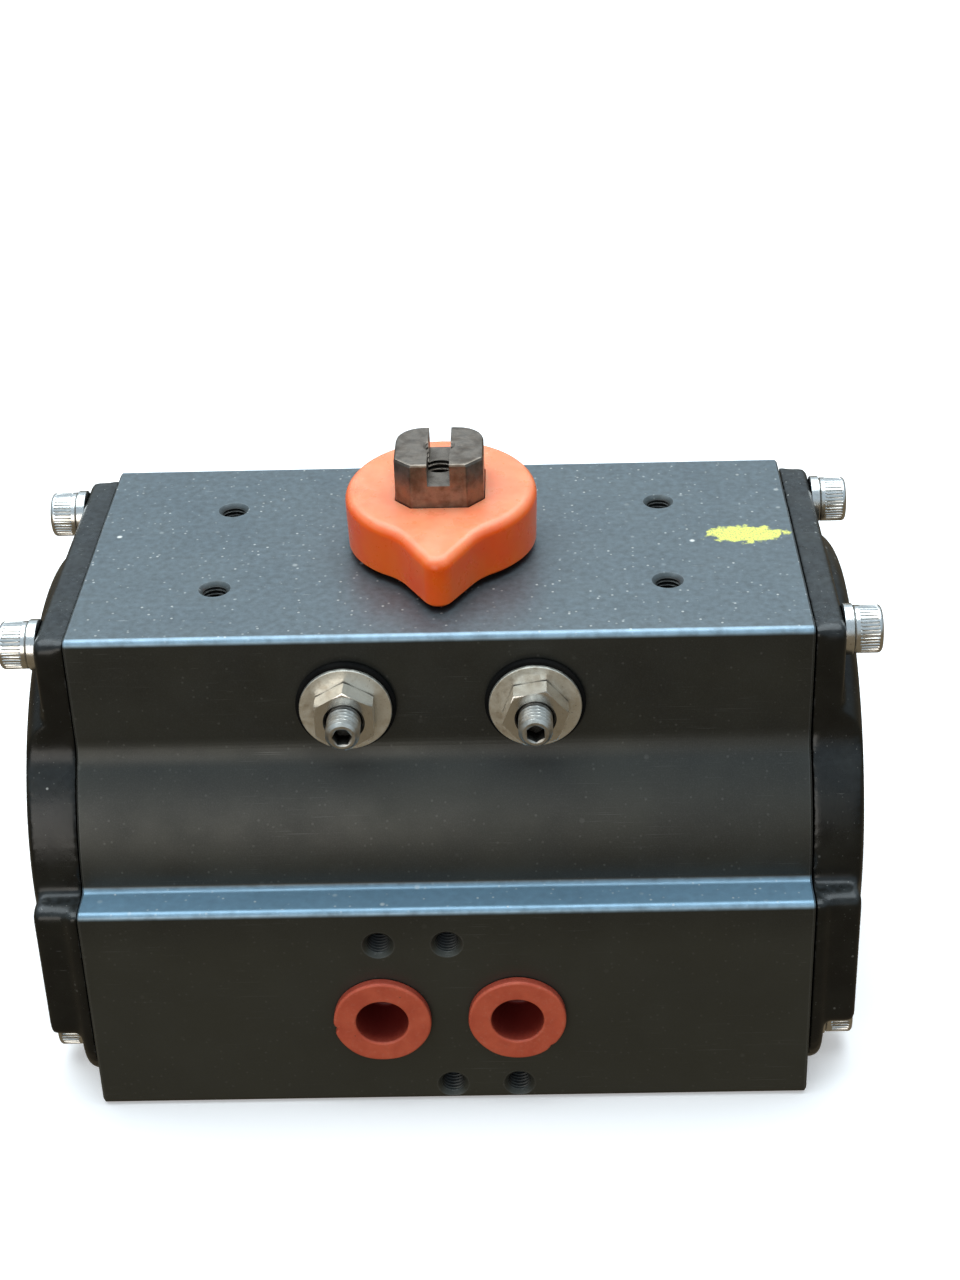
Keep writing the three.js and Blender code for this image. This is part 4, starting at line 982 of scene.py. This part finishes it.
def indicator_outline(inset):
    """A disc with a narrow rounded tip on the port side, blended into it."""
    radius = INDICATOR_HIGH.x
    tip_centre = -INDICATOR_LOW.y - TIP_RADIUS
    across = radius * math.sin(TIP_ROOT)
    along = tip_centre - radius * math.cos(TIP_ROOT)
    touch = QUARTER + math.atan2(along, across) - math.acos(TIP_RADIUS / math.hypot(across, along))
    free = TIP_ROOT + TIP_BLEND / radius
    disc = arc(0, 0, radius - inset, -QUARTER + free, 3 * QUARTER - free, 96)
    tip = arc(0, -tip_centre, TIP_RADIUS - inset, -QUARTER - touch, -QUARTER + touch, 14)
    corner = (-(radius - inset) * math.sin(TIP_ROOT), -(radius - inset) * math.cos(TIP_ROOT))
    side = (tip[0][0] - corner[0], tip[0][1] - corner[1])
    share = TIP_BLEND / math.hypot(*side)
    left = bend(disc[-1], corner, (corner[0] + share * side[0], corner[1] + share * side[1]))
    right = [(-x, y) for x, y in reversed(left)]
    return disc + left + tip + right


def indicator_ring(inset, z, slope=0.0):
    return [(x, y, z + slope * y) for x, y in indicator_outline(inset)]


def make_indicator():
    """The moulding, whose top edge is well rounded and whose top face slopes up to the back."""
    soft, foot, taper = INDICATOR_SOFT, 0.5, 0.25
    bottom = INDICATOR_LOW.z
    top = INDICATOR_HIGH.z - INDICATOR_SLOPE * (INDICATOR_HIGH.x - soft)
    rings = [indicator_ring(taper + foot, bottom), indicator_ring(taper, bottom + foot)]
    for angle in [i * QUARTER / 9 for i in range(10)]:
        inset = soft * (1 - math.cos(angle))
        rings.append(indicator_ring(inset, top - soft + soft * math.sin(angle), INDICATOR_SLOPE))
    body = solid(*skin(rings))
    half, chamfer = HEAD_HALF + SLIP, HEAD_CHAMFER
    inner = half - chamfer
    hole = [(half, -inner), (half, inner), (inner, half), (-inner, half), (-half, inner), (-half, -inner),
            (-inner, -half), (inner, -half)]
    recess = lathe([(13.9, bottom - POKE), (13.9, HEAD_BOTTOM + 0.4)], UPRIGHT)
    cut(body, [prism(hole, bottom, INDICATOR_HIGH.z + POKE), recess])
    return finish_piece(body, "position_indicator", "pinion_shaft", ORANGE)


# ---------------------------------------------------------------- port plugs
def make_plug(name, x, nick_turn, nick_deep):
    """Soft cup pushed into a port, its flange a little uneven and nicked at one place."""
    low, high = span(f"port_plug_{name}")
    face, inner = -low.y, -high.y
    seat = PAD_Y + 0.1
    corners = [(0.3, inner, 0), (5.55, inner, 0.5), (5.55, seat, 0), (8.75, seat, 0.2), (8.75, face, 0.5),
               (4.65, face, 0.45), (4.5, inner + 1.2, 0.6), (0.3, inner + 1.2, 0)]
    profile = rounded(corners, 5)
    rings = []
    wobble = random.Random(name)
    phase = wobble.uniform(0, 6)
    around = 96
    for r, z in profile:
        ring = []
        for i in range(around):
            a = 2 * math.pi * i / around
            uneven = 0.05 * (1 + math.sin(3 * a + phase)) + 0.03 * (1 + math.sin(7 * a))
            nick = nick_deep * max(0, 1 - abs(a - nick_turn) / 0.11)
            reach = r - (uneven + nick if r > 8 else 0)
            ring.append((reach * math.cos(a), reach * math.sin(a), z))
        rings.append(ring)
    plug = solid(*skin(rings), at(x, 0, PORT_Z, TO_FRONT))
    return finish_piece(plug, f"port_plug_{name}", f"port_plug_{name}", RED_PLUG)


# ---------------------------------------------------------------- pieces kept from CAD
def dress_cad_nodes(made):
    """Every CAD node that nothing replaces keeps its shape and gets its slot's look and smooth shading."""
    slots = {part["node"]: part["material_slot"] for part in frame["record"]["subparts"]}
    for name, obj in frame["nodes"].items():
        if name in made:
            continue
        obj.data.materials.clear()
        obj.data.materials.append(SLOT_LOOKS[slots[name]])
        smooth(obj, 34)


# ---------------------------------------------------------------- studio
def make_floor():
    size = 6
    corners = [(-size, -size), (size, -size), (size, size), (-size, size)]
    mesh = bpy.data.meshes.new("floor")
    mesh.from_pydata([(x, y, -0.0002) for x, y in corners], [], [(0, 1, 2, 3)])
    floor = bpy.data.objects.new("floor", mesh)
    bpy.context.scene.collection.objects.link(floor)
    g = Graph("pale_floor")
    tone = g.mix(g.noise(60, 3), rgb(0.93, 0.90, 0.88), rgb(0.95, 0.92, 0.90))
    g.shader.inputs["Emission Color"].default_value = rgb(1, 0.98, 0.97)
    g.shader.inputs["Emission Strength"].default_value = 0.3
    rough = g.level(g.noise(20, 2), 0, 1, 0.7, 0.8)
    mesh.materials.append(g.finish(tone, rough, g.bump(g.noise(2, 3), 0.02)))
    floor.visible_glossy = False
    floor.visible_diffuse = False


def make_world():
    """Cool light from above and behind, and a dim warm tone from below."""
    world = bpy.data.worlds.new("studio")
    bpy.context.scene.world = world
    world.use_nodes = True
    tree = world.node_tree
    direction = tree.nodes.new("ShaderNodeTexCoord").outputs["Generated"]
    parts = tree.nodes.new("ShaderNodeSeparateXYZ")
    tree.links.new(direction, parts.inputs[0])
    ramp = tree.nodes.new("ShaderNodeValToRGB")
    tree.links.new(parts.outputs["Z"], ramp.inputs["Fac"])
    stops = ((0.0, rgb(0.22, 0.18, 0.12)), (0.14, rgb(0.36, 0.40, 0.41)), (0.45, rgb(0.58, 0.72, 0.84)))
    ramp.color_ramp.elements.new(0.5)
    for element, (place, colour) in zip(ramp.color_ramp.elements, stops):
        element.position = place
        element.color = colour
    tree.links.new(ramp.outputs["Color"], tree.nodes["Background"].inputs["Color"])
    tree.nodes["Background"].inputs["Strength"].default_value = 0.75


def make_light(name, place, target, size, power, colour):
    data = bpy.data.lights.new(name, "AREA")
    data.shape = "RECTANGLE"
    data.size, data.size_y = size
    data.energy = power
    data.color = colour
    light = bpy.data.objects.new(name, data)
    bpy.context.scene.collection.objects.link(light)
    light.location = place
    light.rotation_euler = (Vector(target) - Vector(place)).to_track_quat("-Z", "Y").to_euler()


def make_lights():
    middle = (0, 0, 0.05)
    make_light("rear_softbox", (0.05, 1.15, 0.72), middle, (2.0, 0.9), 1.5, (0.80, 0.92, 1.0))
    make_light("overhead_softbox", (-0.05, 0.22, 1.0), middle, (1.5, 1.1), 17, (0.84, 0.94, 1.0))
    make_light("front_fill", (-0.4, -1.2, 0.25), middle, (0.9, 0.7), 4, (1.0, 0.95, 0.88))


def make_camera():
    """The photograph's view, a crop: its optical axis is up and right of the picture's middle."""
    data = bpy.data.cameras.new("photo_view")
    data.sensor_width = 36
    data.lens = 61.19
    data.shift_x = -0.0213
    data.shift_y = -0.0738
    data.clip_start = 0.01
    camera = bpy.data.objects.new("photo_view", data)
    bpy.context.scene.collection.objects.link(camera)
    camera.location = Vector((17.77, -348.38, 278.0)) * MM
    forward = Vector((-0.0154, 0.8777, -0.4790))
    roll = Quaternion((0, 0, 1), math.radians(-1.62))
    camera.rotation_mode = "QUATERNION"
    camera.rotation_quaternion = forward.to_track_quat("-Z", "Y") @ roll
    bpy.context.scene.camera = camera


# ---------------------------------------------------------------- build
def build():
    make_body()
    make_caps()
    make_cap_screws()
    make_stop("left", -1, QUARTER)
    make_stop("right", 1, QUARTER - 0.35)
    make_pinion()
    make_indicator()
    make_plug("left", -PORT_X, math.radians(189), 0.7)
    make_plug("right", PORT_X, math.radians(315), 0.3)
    finished = {o.name.removesuffix("_fine") for o in bpy.data.objects if o.name.endswith("_fine")}
    dress_cad_nodes(finished)
    make_floor()
    make_world()
    make_lights()
    make_camera()
    bpy.context.scene.view_settings.view_transform = "Standard"


build()
